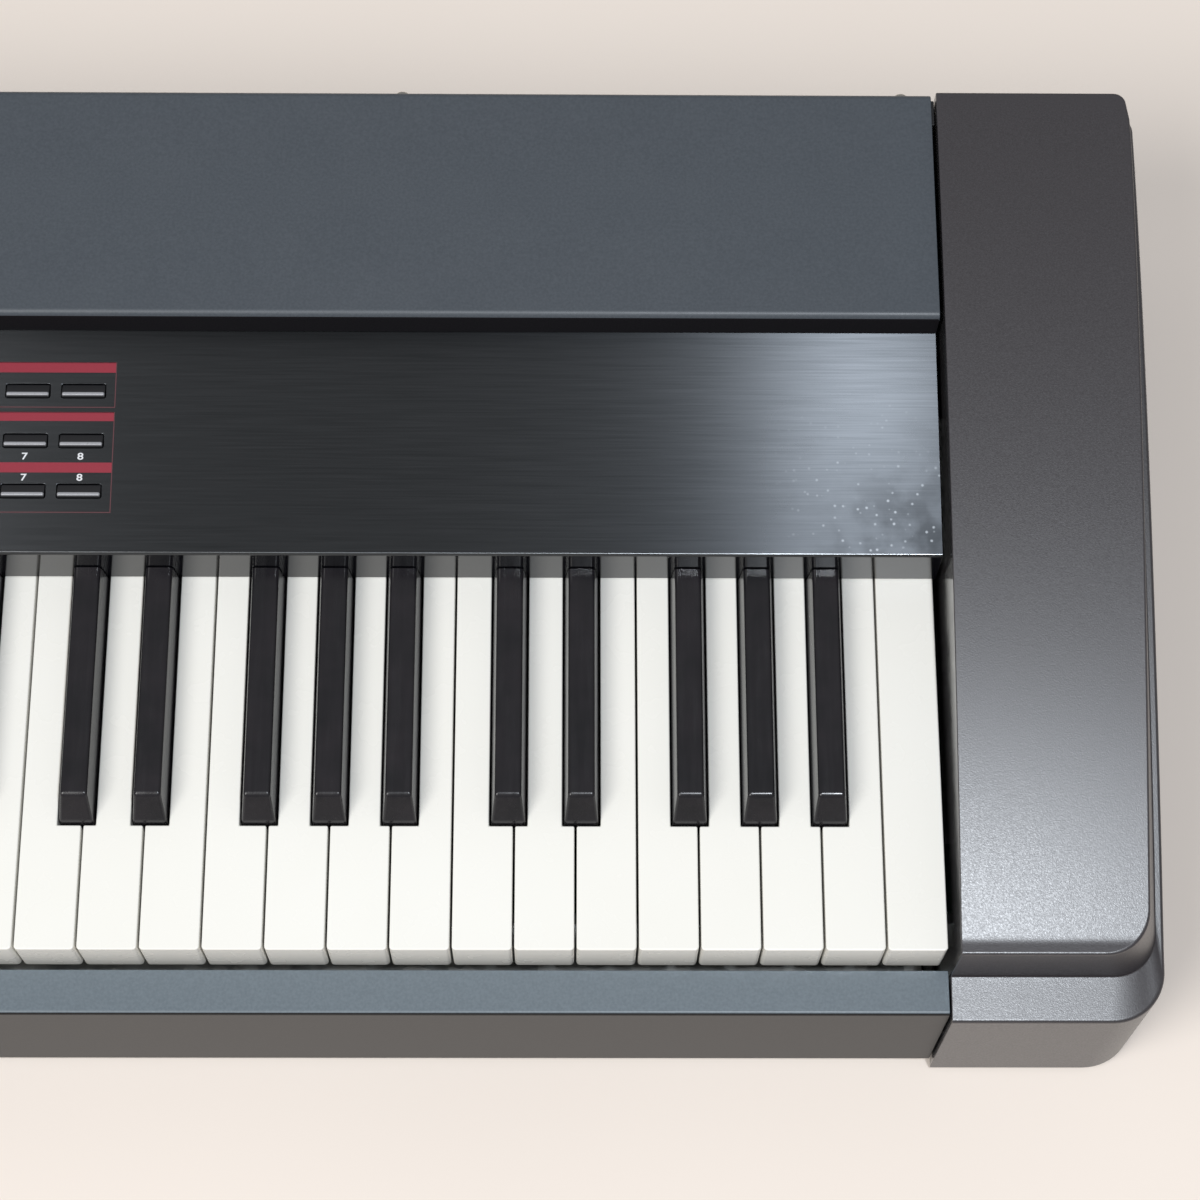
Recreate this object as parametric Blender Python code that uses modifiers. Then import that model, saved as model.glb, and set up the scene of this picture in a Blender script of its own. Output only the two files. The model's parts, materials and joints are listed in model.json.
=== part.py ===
"""Stage piano with 88 weighted keys, as an assembly of separate pieces.

Metres, +Z up. +X runs to the player's right, +Y away from the player. The origin is the middle of
the footprint, on the floor. Most heights are counted from the tops of the white keys, and most
depths from the front edge of the white keys, because those two are what a player would measure.
"""

import math

import bmesh
import bpy
from mathutils import Matrix, Vector

MM = 0.001
WELD_DISTANCE = 0.01 * MM
SHARP_ANGLE = math.radians(35)

# Clearances
SEAT_GAP = 0.3 * MM
KEY_GAP = 0.9 * MM
CUTOUT_CLEARANCE = 0.75 * MM
PANEL_END_GAP = 1.6 * MM
SLIP_END_GAP = 0.6 * MM

# Keyboard
KEY_COUNT = 88
LOWEST_NOTE = 9
SINGLE_KEYS_FROM_OCTAVE = 6
WHITE_PITCH = 23.5 * MM
WHITE_LENGTH = 146 * MM
WHITE_DEPTH = 24.5 * MM
WHITE_EDGE_RADIUS = 1.2 * MM
BLACK_FRONT = 49.2 * MM
BLACK_WIDTH = 13.2 * MM
BLACK_TOP_WIDTH = 10.1 * MM
BLACK_RISE = 12 * MM
BLACK_SLOPE_RUN = 8 * MM
BLACK_EDGE_RADIUS = 1.3 * MM
BLACK_SHIFT = {1: -2.2 * MM, 3: 2.2 * MM, 6: -3.35 * MM, 8: 0.0, 10: 3.3 * MM}
NOTE_NAMES = ("c", "cs", "d", "ds", "e", "f", "fs", "g", "gs", "a", "as", "b")

# Key tails and their fulcrum
FACE_CLEARANCE = 3.5 * MM
WHITE_UNDER_FACE = 4 * MM
BLACK_BEFORE_FACE = 1.5 * MM
PIVOT_BEHIND_FACE = 65.5 * MM
TAIL_DEPTH = 16 * MM
TAIL_THICKNESS = 10 * MM
WHITE_REAR_THICKNESS = 5 * MM
WHITE_TAIL_END = 9 * MM
BLACK_TAIL_END = 3.5 * MM
COMB_BAR = 4 * MM
COMB_BAR_THICKNESS = 4 * MM
COMB_BAR_INSET = 0.5 * MM
BLACK_TAIL_THICKNESS = 11 * MM
FULCRUM_WIDTH = 7 * MM
FULCRUM_FLANK = 8.5 * MM

# Casing, from front to rear
BLOCK_NOSE = 25.4 * MM
PANEL_DEPTH = 91 * MM
COVER_DEPTH = 100.5 * MM
REAR_INSET = 4 * MM

# Casing, from the floor up
FOOT_HEIGHT = 7 * MM
TRAY_TO_KEY_TOPS = 90 * MM
TRAY_SHEET = 1.5 * MM
TRAY_FLANGE_HEIGHT = 28 * MM
WALL_TOP_FLANGE = 11 * MM

# Key slip, the rail in front of the keys
SLIP_DROP = 20 * MM
SLIP_BACK = 3 * MM
SLIP_TOP_DEPTH = 17.3 * MM
SLIP_LEAN = 2.2 * MM
SLIP_SHEET = 1.2 * MM
SLIP_BACK_LIP = 7 * MM
SLIP_FOOT = 9 * MM
SLIP_BEND = 0.4 * MM

# Control panel
PANEL_RISE = 25 * MM
PANEL_TILT = math.radians(5)
PANEL_SHEET = 2 * MM
PANEL_FACE_HEIGHT = 24.3 * MM
PANEL_TUCK = 7 * MM

# Rear cover
COVER_RISE = 47.5 * MM
COVER_REAR_RISE = 49.5 * MM
COVER_REAR_INSET = 1.7 * MM
COVER_SHEET = 1.5 * MM
COVER_BEND = 1.5 * MM
COVER_REAR_FLANGE = 9 * MM

# End blocks
END_GAP = 2.4 * MM
BLOCK_WIDTH = 82.6 * MM
BLOCK_WALL = 3 * MM
BLOCK_BELOW_TRAY = 4 * MM
BLOCK_LEAN = 2.2 * MM
BLOCK_LEDGE = 17.5 * MM
BLOCK_FRONT_RISE = 15.5 * MM
BLOCK_REAR_RISE = 53 * MM
BLOCK_TOP_CURVE = 1.85
LEDGE_FRONT_DROP = 20 * MM
LEDGE_REAR_RISE = 31 * MM
LEDGE_CURVE = 1.6
LEDGE_WIDTH = 2 * MM
REAR_LEDGE = 0.5 * MM
REAR_TUCK = 1.2 * MM
REAR_TUCK_RUN = 12 * MM
LOWER_EDGE_RADIUS = 1.4 * MM
UPPER_EDGE_RADIUS = 1.1 * MM
SIDE_DRAFT = 0.474
LEAST_DRAFT = 2 * MM
FRONT_DRAFT = 0.3 * MM
REAR_DRAFT = 1.2 * MM
LOWER_CORNER_RADIUS = 21 * MM
UPPER_CORNER_RADIUS = 17 * MM
REAR_CORNER_RADIUS = 8 * MM
EDGE_SHARE = 0.3
CORNER_STEPS = 6
SIDE_STEPS = 9

# Keybed frame
FRAME_SHEET = 2 * MM
FRAME_END_CLEARANCE = 1 * MM
FRAME_FRONT = 22 * MM
FRAME_FOOT = 16 * MM
SHELF_DEPTH = 36 * MM
SHELF_DROP = 46 * MM
BED_DROP = 62 * MM
UPSTAND_TUCK = 3 * MM
UPSTAND_FLANGE = 9 * MM

# Contact board, on the shelf of the keybed frame
BOARD_THICKNESS = 1.6 * MM
CONTACT_BOARD_DEPTH = 28 * MM
CONTACT_STRIP_DEPTH = 10 * MM
CONTACT_STRIP_HEIGHT = 9 * MM

# Buttons
BUTTON_PITCH = 21.7 * MM
BUTTON_ROW_PITCH = 20.5 * MM
BUTTON_COLUMNS = 8
BUTTON_LAST_COLUMN_INSET = 334.5 * MM
BUTTON_FIRST_ROW_RUN = 25.4 * MM
SLOT_WIDTH = 17.4 * MM
SLOT_RUN = 6 * MM
CAP_CLEARANCE = 0.3 * MM
CAP_RIDGE_RUN = 1.75 * MM
CAP_RIDGE_LIFT = 1.3 * MM
CAP_REAR_DROP = 0.6 * MM
BUTTON_FLANGE_MARGIN = 1 * MM
BUTTON_FLANGE_THICKNESS = 1.5 * MM
BUTTON_STEM = 5 * MM
BUTTON_STEM_LENGTH = 2 * MM
BUTTON_TRAVEL = 1 * MM
SINGLE_COLUMNS = 2

# Switch board below the buttons
PANEL_BOARD_DROP = 12 * MM
PANEL_BOARD_MARGIN = 12 * MM
TACT_SWITCH = 6 * MM
SPACER_RADIUS = 3 * MM
SPACER_INSET = 4.5 * MM

# Display
DISPLAY_OFFSET = -20 * MM
DISPLAY_RUN = 45 * MM
WINDOW_WIDTH = 96 * MM
WINDOW_RUN = 26 * MM
DISPLAY_BORDER = 6 * MM
DISPLAY_THICKNESS = 10 * MM

# Sliders
SLIDER_INSET = 118 * MM
SLIDER_SPACING = 34 * MM
SLIDER_SLOT_WIDTH = 2.6 * MM
SLIDER_SLOT_RUN = 52 * MM
SLIDER_CAP_WIDTH = 11 * MM
SLIDER_CAP_RUN = 18 * MM
SLIDER_CAP_HEIGHT = 8 * MM
SLIDER_WAIST = 5 * MM
SLIDER_STEM_WIDTH = 1.4 * MM
SLIDER_STEM_RUN = 6 * MM
SLIDER_CARRIAGE_WIDTH = 8 * MM
SLIDER_CARRIAGE_HEIGHT = 4 * MM

# Bender lever
LEVER_INSET = 58 * MM
LEVER_RUN = 42 * MM
LEVER_DRUM_RADIUS = 10.5 * MM
LEVER_DRUM_LENGTH = 14 * MM
LEVER_WIDTH = 8 * MM
LEVER_TIP_WIDTH = 5 * MM
LEVER_DEPTH = 10 * MM
LEVER_HEIGHT = 20 * MM
LEVER_SWING = math.radians(20)
LEVER_SLOT_CLEARANCE = 0.6 * MM

# Rear connectors
JACK_COUNT = 5
JACK_SPACING = 26 * MM
JACK_BORE = 3.7 * MM
DIN_COUNT = 3
DIN_SPACING = 28 * MM
DIN_BORE = 7.6 * MM
JACK_HEIGHT = 42 * MM
JACK_BLOCK_HEIGHT = 24 * MM
JACK_BLOCK_DEPTH = 24 * MM
JACK_BLOCK_WALL = 5 * MM
JACK_BLOCK_MARGIN = 18 * MM
JACK_PLATE_SHEET = 1.2 * MM
JACK_PLATE_OVERLAP = 8 * MM
JACKS_OFFSET = 60 * MM

# Mains inlet with its switch
INLET_INSET = 130 * MM
INLET_HEIGHT = 42 * MM
INLET_SOCKET_WIDTH = 24.5 * MM
INLET_SOCKET_HEIGHT = 17 * MM
INLET_SOCKET_DEPTH = 17 * MM
INLET_WALL = 2.5 * MM
INLET_DEPTH = 24 * MM
INLET_FLANGE = 4 * MM
INLET_FLANGE_THICKNESS = 2 * MM
ROCKER_RADIUS = 6.6 * MM
ROCKER_WIDTH = 19.4 * MM
ROCKER_CLEARANCE = 0.4 * MM
ROCKER_NOTCH = 4.2 * MM
ROCKER_HALF_ANGLE = 32
ROCKER_TILT = 10

# Boards and power supply on the tray
MAIN_BOARD_WIDTH = 300 * MM
MAIN_BOARD_DEPTH = 44 * MM
MAIN_BOARD_OFFSET = -150 * MM
MAIN_BOARD_LEG = 8 * MM
SUPPLY_WIDTH = 110 * MM
SUPPLY_DEPTH = 50 * MM
SUPPLY_HEIGHT = 56 * MM
SUPPLY_INSET = 170 * MM
SUPPLY_EAR = 12 * MM
FRAME_TO_BOARDS = 6 * MM

# Feet
FOOT_RADIUS = 16 * MM
FOOT_TAPER = 2 * MM
FOOT_SIDE_INSET = 60 * MM
FOOT_FRONT_INSET = 45 * MM
FOOT_REAR_INSET = 45 * MM

# Places worked out from the sizes above
IS_WHITE = (True, False, True, False, True, True, False, True, False, True, False, True)
NOTES = range(LOWEST_NOTE, LOWEST_NOTE + KEY_COUNT)
WHITE_COUNT = sum(IS_WHITE[note % 12] for note in NOTES)
HALF_KEYS = WHITE_COUNT * WHITE_PITCH / 2
BLOCK_FACE_X = HALF_KEYS + END_GAP
BLOCK_OUTER_X = BLOCK_FACE_X + BLOCK_WIDTH
PANEL_HALF = BLOCK_FACE_X - PANEL_END_GAP
SLIP_HALF = BLOCK_FACE_X - SLIP_END_GAP
TRAY_HALF = BLOCK_FACE_X - SEAT_GAP
FRAME_HALF = TRAY_HALF - TRAY_SHEET - FRAME_END_CLEARANCE

DEPTH = BLOCK_NOSE + WHITE_LENGTH + FACE_CLEARANCE + PANEL_DEPTH + COVER_DEPTH
FRONT_Y = -DEPTH / 2
REAR_Y = DEPTH / 2
KEY_Y = FRONT_Y + BLOCK_NOSE
PANEL_Y = KEY_Y + WHITE_LENGTH + FACE_CLEARANCE
COVER_Y = PANEL_Y + PANEL_DEPTH
WALL_Y = REAR_Y - REAR_INSET
PIVOT_Y = PANEL_Y + PIVOT_BEHIND_FACE

KEY_Z = FOOT_HEIGHT + TRAY_TO_KEY_TOPS
FLOOR_Z = FOOT_HEIGHT + TRAY_SHEET
TAIL_Z = KEY_Z - TAIL_DEPTH
SLIP_Z = KEY_Z - SLIP_DROP
BLOCK_BOTTOM_Z = FOOT_HEIGHT - BLOCK_BELOW_TRAY
SHELF_Z = KEY_Z - SHELF_DROP

for old in list(bpy.data.objects):
    bpy.data.objects.remove(old, do_unlink=True)

PARTS = bpy.data.collections.new("stage_piano")
CUTTERS = bpy.data.collections.new("cutters")
bpy.context.scene.collection.children.link(PARTS)
bpy.context.scene.collection.children.link(CUTTERS)


def material(name, colour, roughness, metallic=0.0, alpha=1.0):
    made = bpy.data.materials.new(name)
    made.use_nodes = True
    shader = made.node_tree.nodes["Principled BSDF"]
    shader.inputs["Base Color"].default_value = (*colour, 1.0)
    shader.inputs["Roughness"].default_value = roughness
    shader.inputs["Metallic"].default_value = metallic
    shader.inputs["Alpha"].default_value = alpha
    return made


PAINT = material("blue_grey_paint", (0.10, 0.12, 0.14), 0.45)
BRUSHED = material("dark_brushed_metal", (0.07, 0.075, 0.08), 0.35, 0.8)
MOULDED = material("dark_moulded_plastic", (0.075, 0.078, 0.088), 0.5)
IVORY = material("ivory_plastic", (0.86, 0.84, 0.78), 0.3)
EBONY = material("black_key_plastic", (0.015, 0.015, 0.016), 0.25)
CAP_PLASTIC = material("grey_cap_plastic", (0.12, 0.125, 0.135), 0.4)
STEEL = material("zinc_plated_steel", (0.55, 0.55, 0.53), 0.4, 0.9)
BLACK_STEEL = material("black_painted_steel", (0.03, 0.03, 0.032), 0.5)
BOARD = material("circuit_board", (0.03, 0.14, 0.07), 0.5)
SOCKET = material("socket_plastic", (0.02, 0.02, 0.02), 0.45)
RUBBER = material("foot_rubber", (0.03, 0.03, 0.03), 0.8)
WINDOW = material("tinted_window", (0.05, 0.06, 0.06), 0.1, alpha=0.7)


def add_part(name, mesh, finish, collection=PARTS):
    mesh.name = name
    mesh.materials.clear()
    mesh.materials.append(finish)
    part = bpy.data.objects.new(name, mesh)
    collection.objects.link(part)
    return part


def as_cutter(piece):
    """Takes a shape out of the parts, and leaves it as a tool for Booleans."""
    for collection in list(piece.users_collection):
        collection.objects.unlink(piece)
    CUTTERS.objects.link(piece)
    piece.hide_render = True
    piece.display_type = "WIRE"
    return piece


def boolean(piece, tool, operation):
    as_cutter(tool)
    change = piece.modifiers.new(operation.lower(), "BOOLEAN")
    change.operation = operation
    change.solver = "EXACT"
    change.object = tool


def box_mesh(name, low, high):
    """A box between two corners, in world coordinates."""
    mesh = bpy.data.meshes.new(name)
    shape = bmesh.new()
    size = Vector(high) - Vector(low)
    middle = (Vector(high) + Vector(low)) / 2
    place = Matrix.Translation(middle) @ Matrix.Diagonal((*size, 1.0))
    bmesh.ops.create_cube(shape, size=1.0, matrix=place)
    shape.to_mesh(mesh)
    shape.free()
    return mesh


def add_box(name, low, high, finish):
    return add_part(name, box_mesh(name, low, high), finish)


def add_cylinder(name, centre, axis, radius, length, finish, tip_radius=None, sides=24):
    """A cylinder or cone whose middle is at centre. The tip is the end that the axis points to."""
    mesh = bpy.data.meshes.new(name)
    shape = bmesh.new()
    turn = Vector((0, 0, 1)).rotation_difference(Vector(axis)).to_matrix().to_4x4()
    tip = radius if tip_radius is None else tip_radius
    bmesh.ops.create_cone(
        shape, cap_ends=True, segments=sides, radius1=radius, radius2=tip, depth=length,
        matrix=Matrix.Translation(centre) @ turn,
    )
    shape.to_mesh(mesh)
    shape.free()
    return add_part(name, mesh, finish)


def extruded_mesh(name, outlines, plane, start, end):
    """Flat outlines, filled and extruded along the axis that the plane leaves out."""
    curve = bpy.data.curves.new(name, "CURVE")
    curve.dimensions = "2D"
    curve.fill_mode = "BOTH"
    curve.extrude = (end - start) / 2
    for outline in outlines:
        spline = curve.splines.new("POLY")
        spline.points.add(len(outline) - 1)
        spline.use_cyclic_u = True
        for point, (across, up) in zip(spline.points, outline):
            point.co = (across, up, 0.0, 1.0)
    guide = bpy.data.objects.new(name, curve)
    bpy.context.scene.collection.objects.link(guide)
    depsgraph = bpy.context.evaluated_depsgraph_get()
    mesh = bpy.data.meshes.new_from_object(guide.evaluated_get(depsgraph))
    bpy.data.objects.remove(guide, do_unlink=True)
    bpy.data.curves.remove(curve)
    axes = {
        "XY": ((1, 0, 0), (0, 1, 0), (0, 0, 1)),
        "YZ": ((0, 1, 0), (0, 0, 1), (1, 0, 0)),
        "XZ": ((1, 0, 0), (0, 0, 1), (0, -1, 0)),
    }[plane]
    turn = Matrix(axes).transposed().to_4x4()
    along = Vector(axes[2]) * (start + end) / 2
    if plane == "XZ":
        along = -along
    mesh.transform(Matrix.Translation(along) @ turn)
    clean(mesh)
    return mesh


def add_extruded(name, outlines, plane, start, end, finish):
    return add_part(name, extruded_mesh(name, outlines, plane, start, end), finish)


def clean(mesh):
    """Welds a mesh's loose caps and points its faces outwards."""
    shape = bmesh.new()
    shape.from_mesh(mesh)
    bmesh.ops.remove_doubles(shape, verts=shape.verts, dist=WELD_DISTANCE)
    bmesh.ops.recalc_face_normals(shape, faces=shape.faces)
    shape.to_mesh(mesh)
    shape.free()


def add_folded_sheet(name, path, half_width, thickness, finish):
    """A sheet bent along a path of (y, z) points. The path is its upper or outer surface."""
    mesh = bpy.data.meshes.new(name)
    shape = bmesh.new()
    rows = [[shape.verts.new((x, y, z)) for y, z in path] for x in (-half_width, half_width)]
    for here in range(len(path) - 1):
        corners = (rows[0][here], rows[1][here], rows[1][here + 1], rows[0][here + 1])
        shape.faces.new(corners)
    shape.to_mesh(mesh)
    shape.free()
    sheet = add_part(name, mesh, finish)
    wall = sheet.modifiers.new("sheet", "SOLIDIFY")
    wall.thickness = thickness
    wall.offset = -1.0
    wall.use_even_offset = True
    return sheet


def arc(centre, radius, first, last, steps):
    """Points on an arc, between two angles in degrees."""
    points = []
    for step in range(steps + 1):
        angle = math.radians(first + (last - first) * step / steps)
        points.append(
            (centre[0] + radius * math.cos(angle), centre[1] + radius * math.sin(angle))
        )
    return points


def place_origin(part, point):
    """Moves a part's origin to a point in the world, without moving the part."""
    part.data.transform(Matrix.Translation(-Vector(point)))
    part.location = point


# Key outlines
def white_left(index):
    return -HALF_KEYS + index * WHITE_PITCH


def keys():
    """Every key as (note, white index). A black key has the index of the white key after it."""
    index = 0
    for note in NOTES:
        yield note, index
        if IS_WHITE[note % 12]:
            index += 1


def black_centre(note, index):
    return white_left(index) + BLACK_SHIFT[note % 12]


def white_outline(note, index):
    """A white key from above: full width in front, cut back beside its black neighbours."""
    left = white_left(index) + KEY_GAP / 2
    right = white_left(index + 1) - KEY_GAP / 2
    front = KEY_Y
    shoulder = KEY_Y + BLACK_FRONT - CUTOUT_CLEARANCE
    back = PIVOT_Y + WHITE_TAIL_END
    cut = BLACK_WIDTH / 2 + CUTOUT_CLEARANCE
    outline = [(left, front), (right, front)]
    black_after = not IS_WHITE[(note + 1) % 12] and note + 1 in NOTES
    black_before = not IS_WHITE[(note - 1) % 12] and note - 1 in NOTES
    if black_after:
        inner_right = black_centre(note + 1, index + 1) - cut
        outline += [(right, shoulder), (inner_right, shoulder), (inner_right, back)]
    else:
        outline += [(right, back)]
    if black_before:
        inner_left = black_centre(note - 1, index) + cut
        outline += [(inner_left, back), (inner_left, shoulder), (left, shoulder)]
    else:
        outline += [(left, back)]
    return outline


def white_profile():
    """A white key from its side: it runs on under the panel's face, then thins to its tail."""
    radius = WHITE_EDGE_RADIUS
    cap_end = PANEL_Y + WHITE_UNDER_FACE
    thick_end = KEY_Y + WHITE_LENGTH
    tail_top = TAIL_Z + TAIL_THICKNESS
    underside = KEY_Z - WHITE_DEPTH
    step_in = WHITE_DEPTH - TAIL_DEPTH
    thin_from = PIVOT_Y - 2 * FULCRUM_WIDTH
    back = PIVOT_Y + WHITE_TAIL_END
    front_edge = arc((KEY_Y + radius, KEY_Z - radius), radius, 180, 90, 3)
    return [
        (KEY_Y, underside), *front_edge,
        (cap_end, KEY_Z), (cap_end, tail_top), (thin_from, tail_top),
        (thin_from, TAIL_Z + WHITE_REAR_THICKNESS), (back, TAIL_Z + WHITE_REAR_THICKNESS),
        (back, TAIL_Z), (thick_end - step_in, TAIL_Z), (thick_end - 2 * step_in, underside),
    ]


def black_profile():
    """A black key from its side: sloping nose, flat top, and a low tail."""
    front = KEY_Y + BLACK_FRONT
    top = KEY_Z + BLACK_RISE
    cap_end = PANEL_Y - BLACK_BEFORE_FACE
    tail_top = TAIL_Z + BLACK_TAIL_THICKNESS
    back = PIVOT_Y + BLACK_TAIL_END
    return [
        (front, TAIL_Z), (front, KEY_Z + BLACK_EDGE_RADIUS),
        (front + BLACK_SLOPE_RUN - BLACK_EDGE_RADIUS, top - BLACK_EDGE_RADIUS),
        (front + BLACK_SLOPE_RUN + BLACK_EDGE_RADIUS, top),
        (cap_end, top), (cap_end, tail_top), (back, tail_top), (back, TAIL_Z),
    ]


def black_section(centre):
    """A black key from its front: straight below the white keys' tops, tapered above them."""
    half = BLACK_WIDTH / 2
    half_top = BLACK_TOP_WIDTH / 2
    top = KEY_Z + BLACK_RISE
    radius = BLACK_EDGE_RADIUS
    right = [
        (centre + half, TAIL_Z), (centre + half, KEY_Z),
        (centre + half_top + radius / 3, top - radius), (centre + half_top - radius / 2, top),
    ]
    left = [(2 * centre - across, up) for across, up in reversed(right)]
    return right + left


def key_name(note):
    colour = "white" if IS_WHITE[note % 12] else "black"
    return f"{colour}_key_{NOTE_NAMES[note % 12]}{note // 12}"


def add_white_keys(name, chosen, joined):
    """White keys: their outlines from above, cut to one profile from the side."""
    outlines = [white_outline(note, index) for note, index in chosen]
    part = add_extruded(name, outlines, "XY", KEY_Z - WHITE_DEPTH, KEY_Z, IVORY)
    first = white_left(chosen[0][1])
    last = white_left(chosen[-1][1] + 1)
    boolean(
        part, add_extruded(name + "_side", [white_profile()], "YZ", first, last, IVORY), "INTERSECT"
    )
    if joined:
        back = PIVOT_Y + WHITE_TAIL_END + COMB_BAR_INSET
        bottom = TAIL_Z + COMB_BAR_INSET
        low = (first + 2 * KEY_GAP, back - COMB_BAR, bottom)
        high = (last - 2 * KEY_GAP, back, bottom + COMB_BAR_THICKNESS)
        boolean(part, add_box(name + "_bar", low, high, IVORY), "UNION")
    place_origin(part, (0, PIVOT_Y, TAIL_Z))


def add_black_keys(name, chosen, joined):
    """Black keys: their section from the front, cut to one profile from the side."""
    centres = [black_centre(note, index) for note, index in chosen]
    back = PIVOT_Y + BLACK_TAIL_END
    sections = [black_section(centre) for centre in centres]
    part = add_extruded(name, sections, "XZ", KEY_Y, back + BLACK_TAIL_END, EBONY)
    first = centres[0] - BLACK_WIDTH
    last = centres[-1] + BLACK_WIDTH
    boolean(
        part, add_extruded(name + "_side", [black_profile()], "YZ", first, last, EBONY), "INTERSECT"
    )
    if joined:
        bar_top = TAIL_Z + BLACK_TAIL_THICKNESS - COMB_BAR_INSET
        bar_back = back - COMB_BAR_INSET
        low = (centres[0], bar_back - COMB_BAR, bar_top - COMB_BAR_THICKNESS)
        high = (centres[-1], bar_back, bar_top)
        boolean(part, add_box(name + "_bar", low, high, EBONY), "UNION")
    place_origin(part, (0, PIVOT_Y, TAIL_Z))


def add_keys():
    """The top octaves key by key, and the keys below them as one white and one black comb."""
    white_comb = []
    black_comb = []
    for note, index in keys():
        white = IS_WHITE[note % 12]
        if note // 12 < SINGLE_KEYS_FROM_OCTAVE:
            (white_comb if white else black_comb).append((note, index))
        elif white:
            add_white_keys(key_name(note), [(note, index)], False)
        else:
            add_black_keys(key_name(note), [(note, index)], False)
    add_white_keys("white_keys_lower", white_comb, True)
    add_black_keys("black_keys_lower", black_comb, True)


# End blocks
def block_top(y):
    """Height of a block's top, which climbs from the front and levels out to the rear."""
    share = min(1.0, (REAR_Y - y) / (REAR_Y - KEY_Y))
    drop = (BLOCK_REAR_RISE - BLOCK_FRONT_RISE) * share**BLOCK_TOP_CURVE
    return KEY_Z + BLOCK_REAR_RISE - drop


def block_ledge(y):
    """Height of the ledge round a block's lower tier."""
    share = min(1.0, (REAR_Y - REAR_CORNER_RADIUS - y) / (REAR_Y - REAR_CORNER_RADIUS - KEY_Y))
    drop = (LEDGE_REAR_RISE + LEDGE_FRONT_DROP) * max(0.0, share) ** LEDGE_CURVE
    return KEY_Z + LEDGE_REAR_RISE - drop


def ledge_inset(y):
    """How far the upper tier stands in from the lower tier's side. It tucks in near the rear."""
    near = min(1.0, max(0.0, 1.0 - (REAR_Y - REAR_CORNER_RADIUS - y) / REAR_TUCK_RUN))
    return LOWER_EDGE_RADIUS + LEDGE_WIDTH + REAR_TUCK * near**2


def side_draft(y):
    """How far the upper tier's side leans in. The wall leans more where it is taller."""
    height = block_top(y) - block_ledge(y)
    least = BLOCK_REAR_RISE - LEDGE_REAR_RISE
    return LEAST_DRAFT + SIDE_DRAFT * max(0.0, height - least)


def block_level(front, inset, rear_inset, corner, inner_x, height):
    """One ring of a block, from its inner front corner round the outside to its inner rear."""
    rear = REAR_Y - rear_inset
    rear_corner = REAR_CORNER_RADIUS - rear_inset
    ring = [(inner_x, front)]
    corner_x = BLOCK_OUTER_X - inset(front + corner)
    ring += arc((corner_x - corner, front + corner), corner, -90, 0, CORNER_STEPS)
    for step in range(1, SIDE_STEPS):
        start = front + corner
        y = start + (rear - rear_corner - start) * step / SIDE_STEPS
        ring.append((BLOCK_OUTER_X - inset(y), y))
    rear_x = BLOCK_OUTER_X - inset(rear - rear_corner)
    ring += arc((rear_x - rear_corner, rear - rear_corner), rear_corner, 0, 90, CORNER_STEPS // 2)
    ring.append((inner_x, rear))
    return [(x, y, height(y)) for x, y in ring]


def block_mesh(name, wall):
    """The right-hand block's outer skin, or with a wall thickness the hollow inside it."""
    ledge_front = FRONT_Y + BLOCK_LEAN
    upper_front = ledge_front + BLOCK_LEDGE
    upper_rear = LOWER_EDGE_RADIUS + REAR_LEDGE
    top_front = upper_front + FRONT_DRAFT
    top_rear = upper_rear + REAR_DRAFT
    lower_round = LOWER_EDGE_RADIUS
    upper_round = UPPER_EDGE_RADIUS
    lower_bend = lower_round * EDGE_SHARE
    upper_bend = upper_round * EDGE_SHARE
    bottom = BLOCK_BOTTOM_Z - wall
    inner_x = BLOCK_FACE_X + wall

    def level(front, inset, rear_inset, corner, height):
        return block_level(
            front + wall, lambda y: inset(y) + wall, rear_inset + wall,
            max(corner - wall, REAR_CORNER_RADIUS), inner_x, lambda y: height(y) - wall,
        )

    def upper_inset(extra):
        return lambda y: ledge_inset(y) + side_draft(y) + extra

    levels = [
        level(FRONT_Y, lambda y: 0.0, 0.0, LOWER_CORNER_RADIUS, lambda y: bottom + wall),
        level(ledge_front, lambda y: 0.0, 0.0, LOWER_CORNER_RADIUS,
              lambda y: block_ledge(y) - lower_round),
        level(ledge_front + lower_bend, lambda y: lower_bend, lower_bend, LOWER_CORNER_RADIUS,
              lambda y: block_ledge(y) - lower_bend),
        level(ledge_front + lower_round, lambda y: lower_round, lower_round,
              LOWER_CORNER_RADIUS, block_ledge),
        level(upper_front, ledge_inset, upper_rear, UPPER_CORNER_RADIUS, block_ledge),
        level(top_front, upper_inset(0.0), top_rear, UPPER_CORNER_RADIUS,
              lambda y: block_top(y) - upper_round),
        level(top_front + upper_bend, upper_inset(upper_bend), top_rear + upper_bend,
              UPPER_CORNER_RADIUS, lambda y: block_top(y) - upper_bend),
        level(top_front + upper_round, upper_inset(upper_round), top_rear + upper_round,
              UPPER_CORNER_RADIUS, block_top),
    ]
    mesh = bpy.data.meshes.new(name)
    shape = bmesh.new()
    rings = [[shape.verts.new(point) for point in ring] for ring in levels]
    for lower, upper in zip(rings, rings[1:]):
        for here in range(len(lower) - 1):
            shape.faces.new((lower[here], lower[here + 1], upper[here + 1], upper[here]))
    top = rings[-1]
    inner_line = [top[0]]
    for vert in top[2:-2]:
        inner_line.append(shape.verts.new((inner_x, vert.co.y, vert.co.z)))
    inner_line.append(top[-1])
    shape.faces.new((top[0], top[1], top[2], inner_line[1]))
    for here in range(2, len(top) - 3):
        shape.faces.new((top[here], top[here + 1], inner_line[here], inner_line[here - 1]))
    shape.faces.new((top[-3], top[-2], top[-1], inner_line[-2]))
    shape.faces.new(rings[0])
    front_edge = [ring[0] for ring in rings]
    rear_edge = [ring[-1] for ring in reversed(rings)]
    shape.faces.new(front_edge + inner_line[1:-1] + rear_edge)
    bmesh.ops.recalc_face_normals(shape, faces=shape.faces)
    shape.to_mesh(mesh)
    shape.free()
    return mesh


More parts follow.
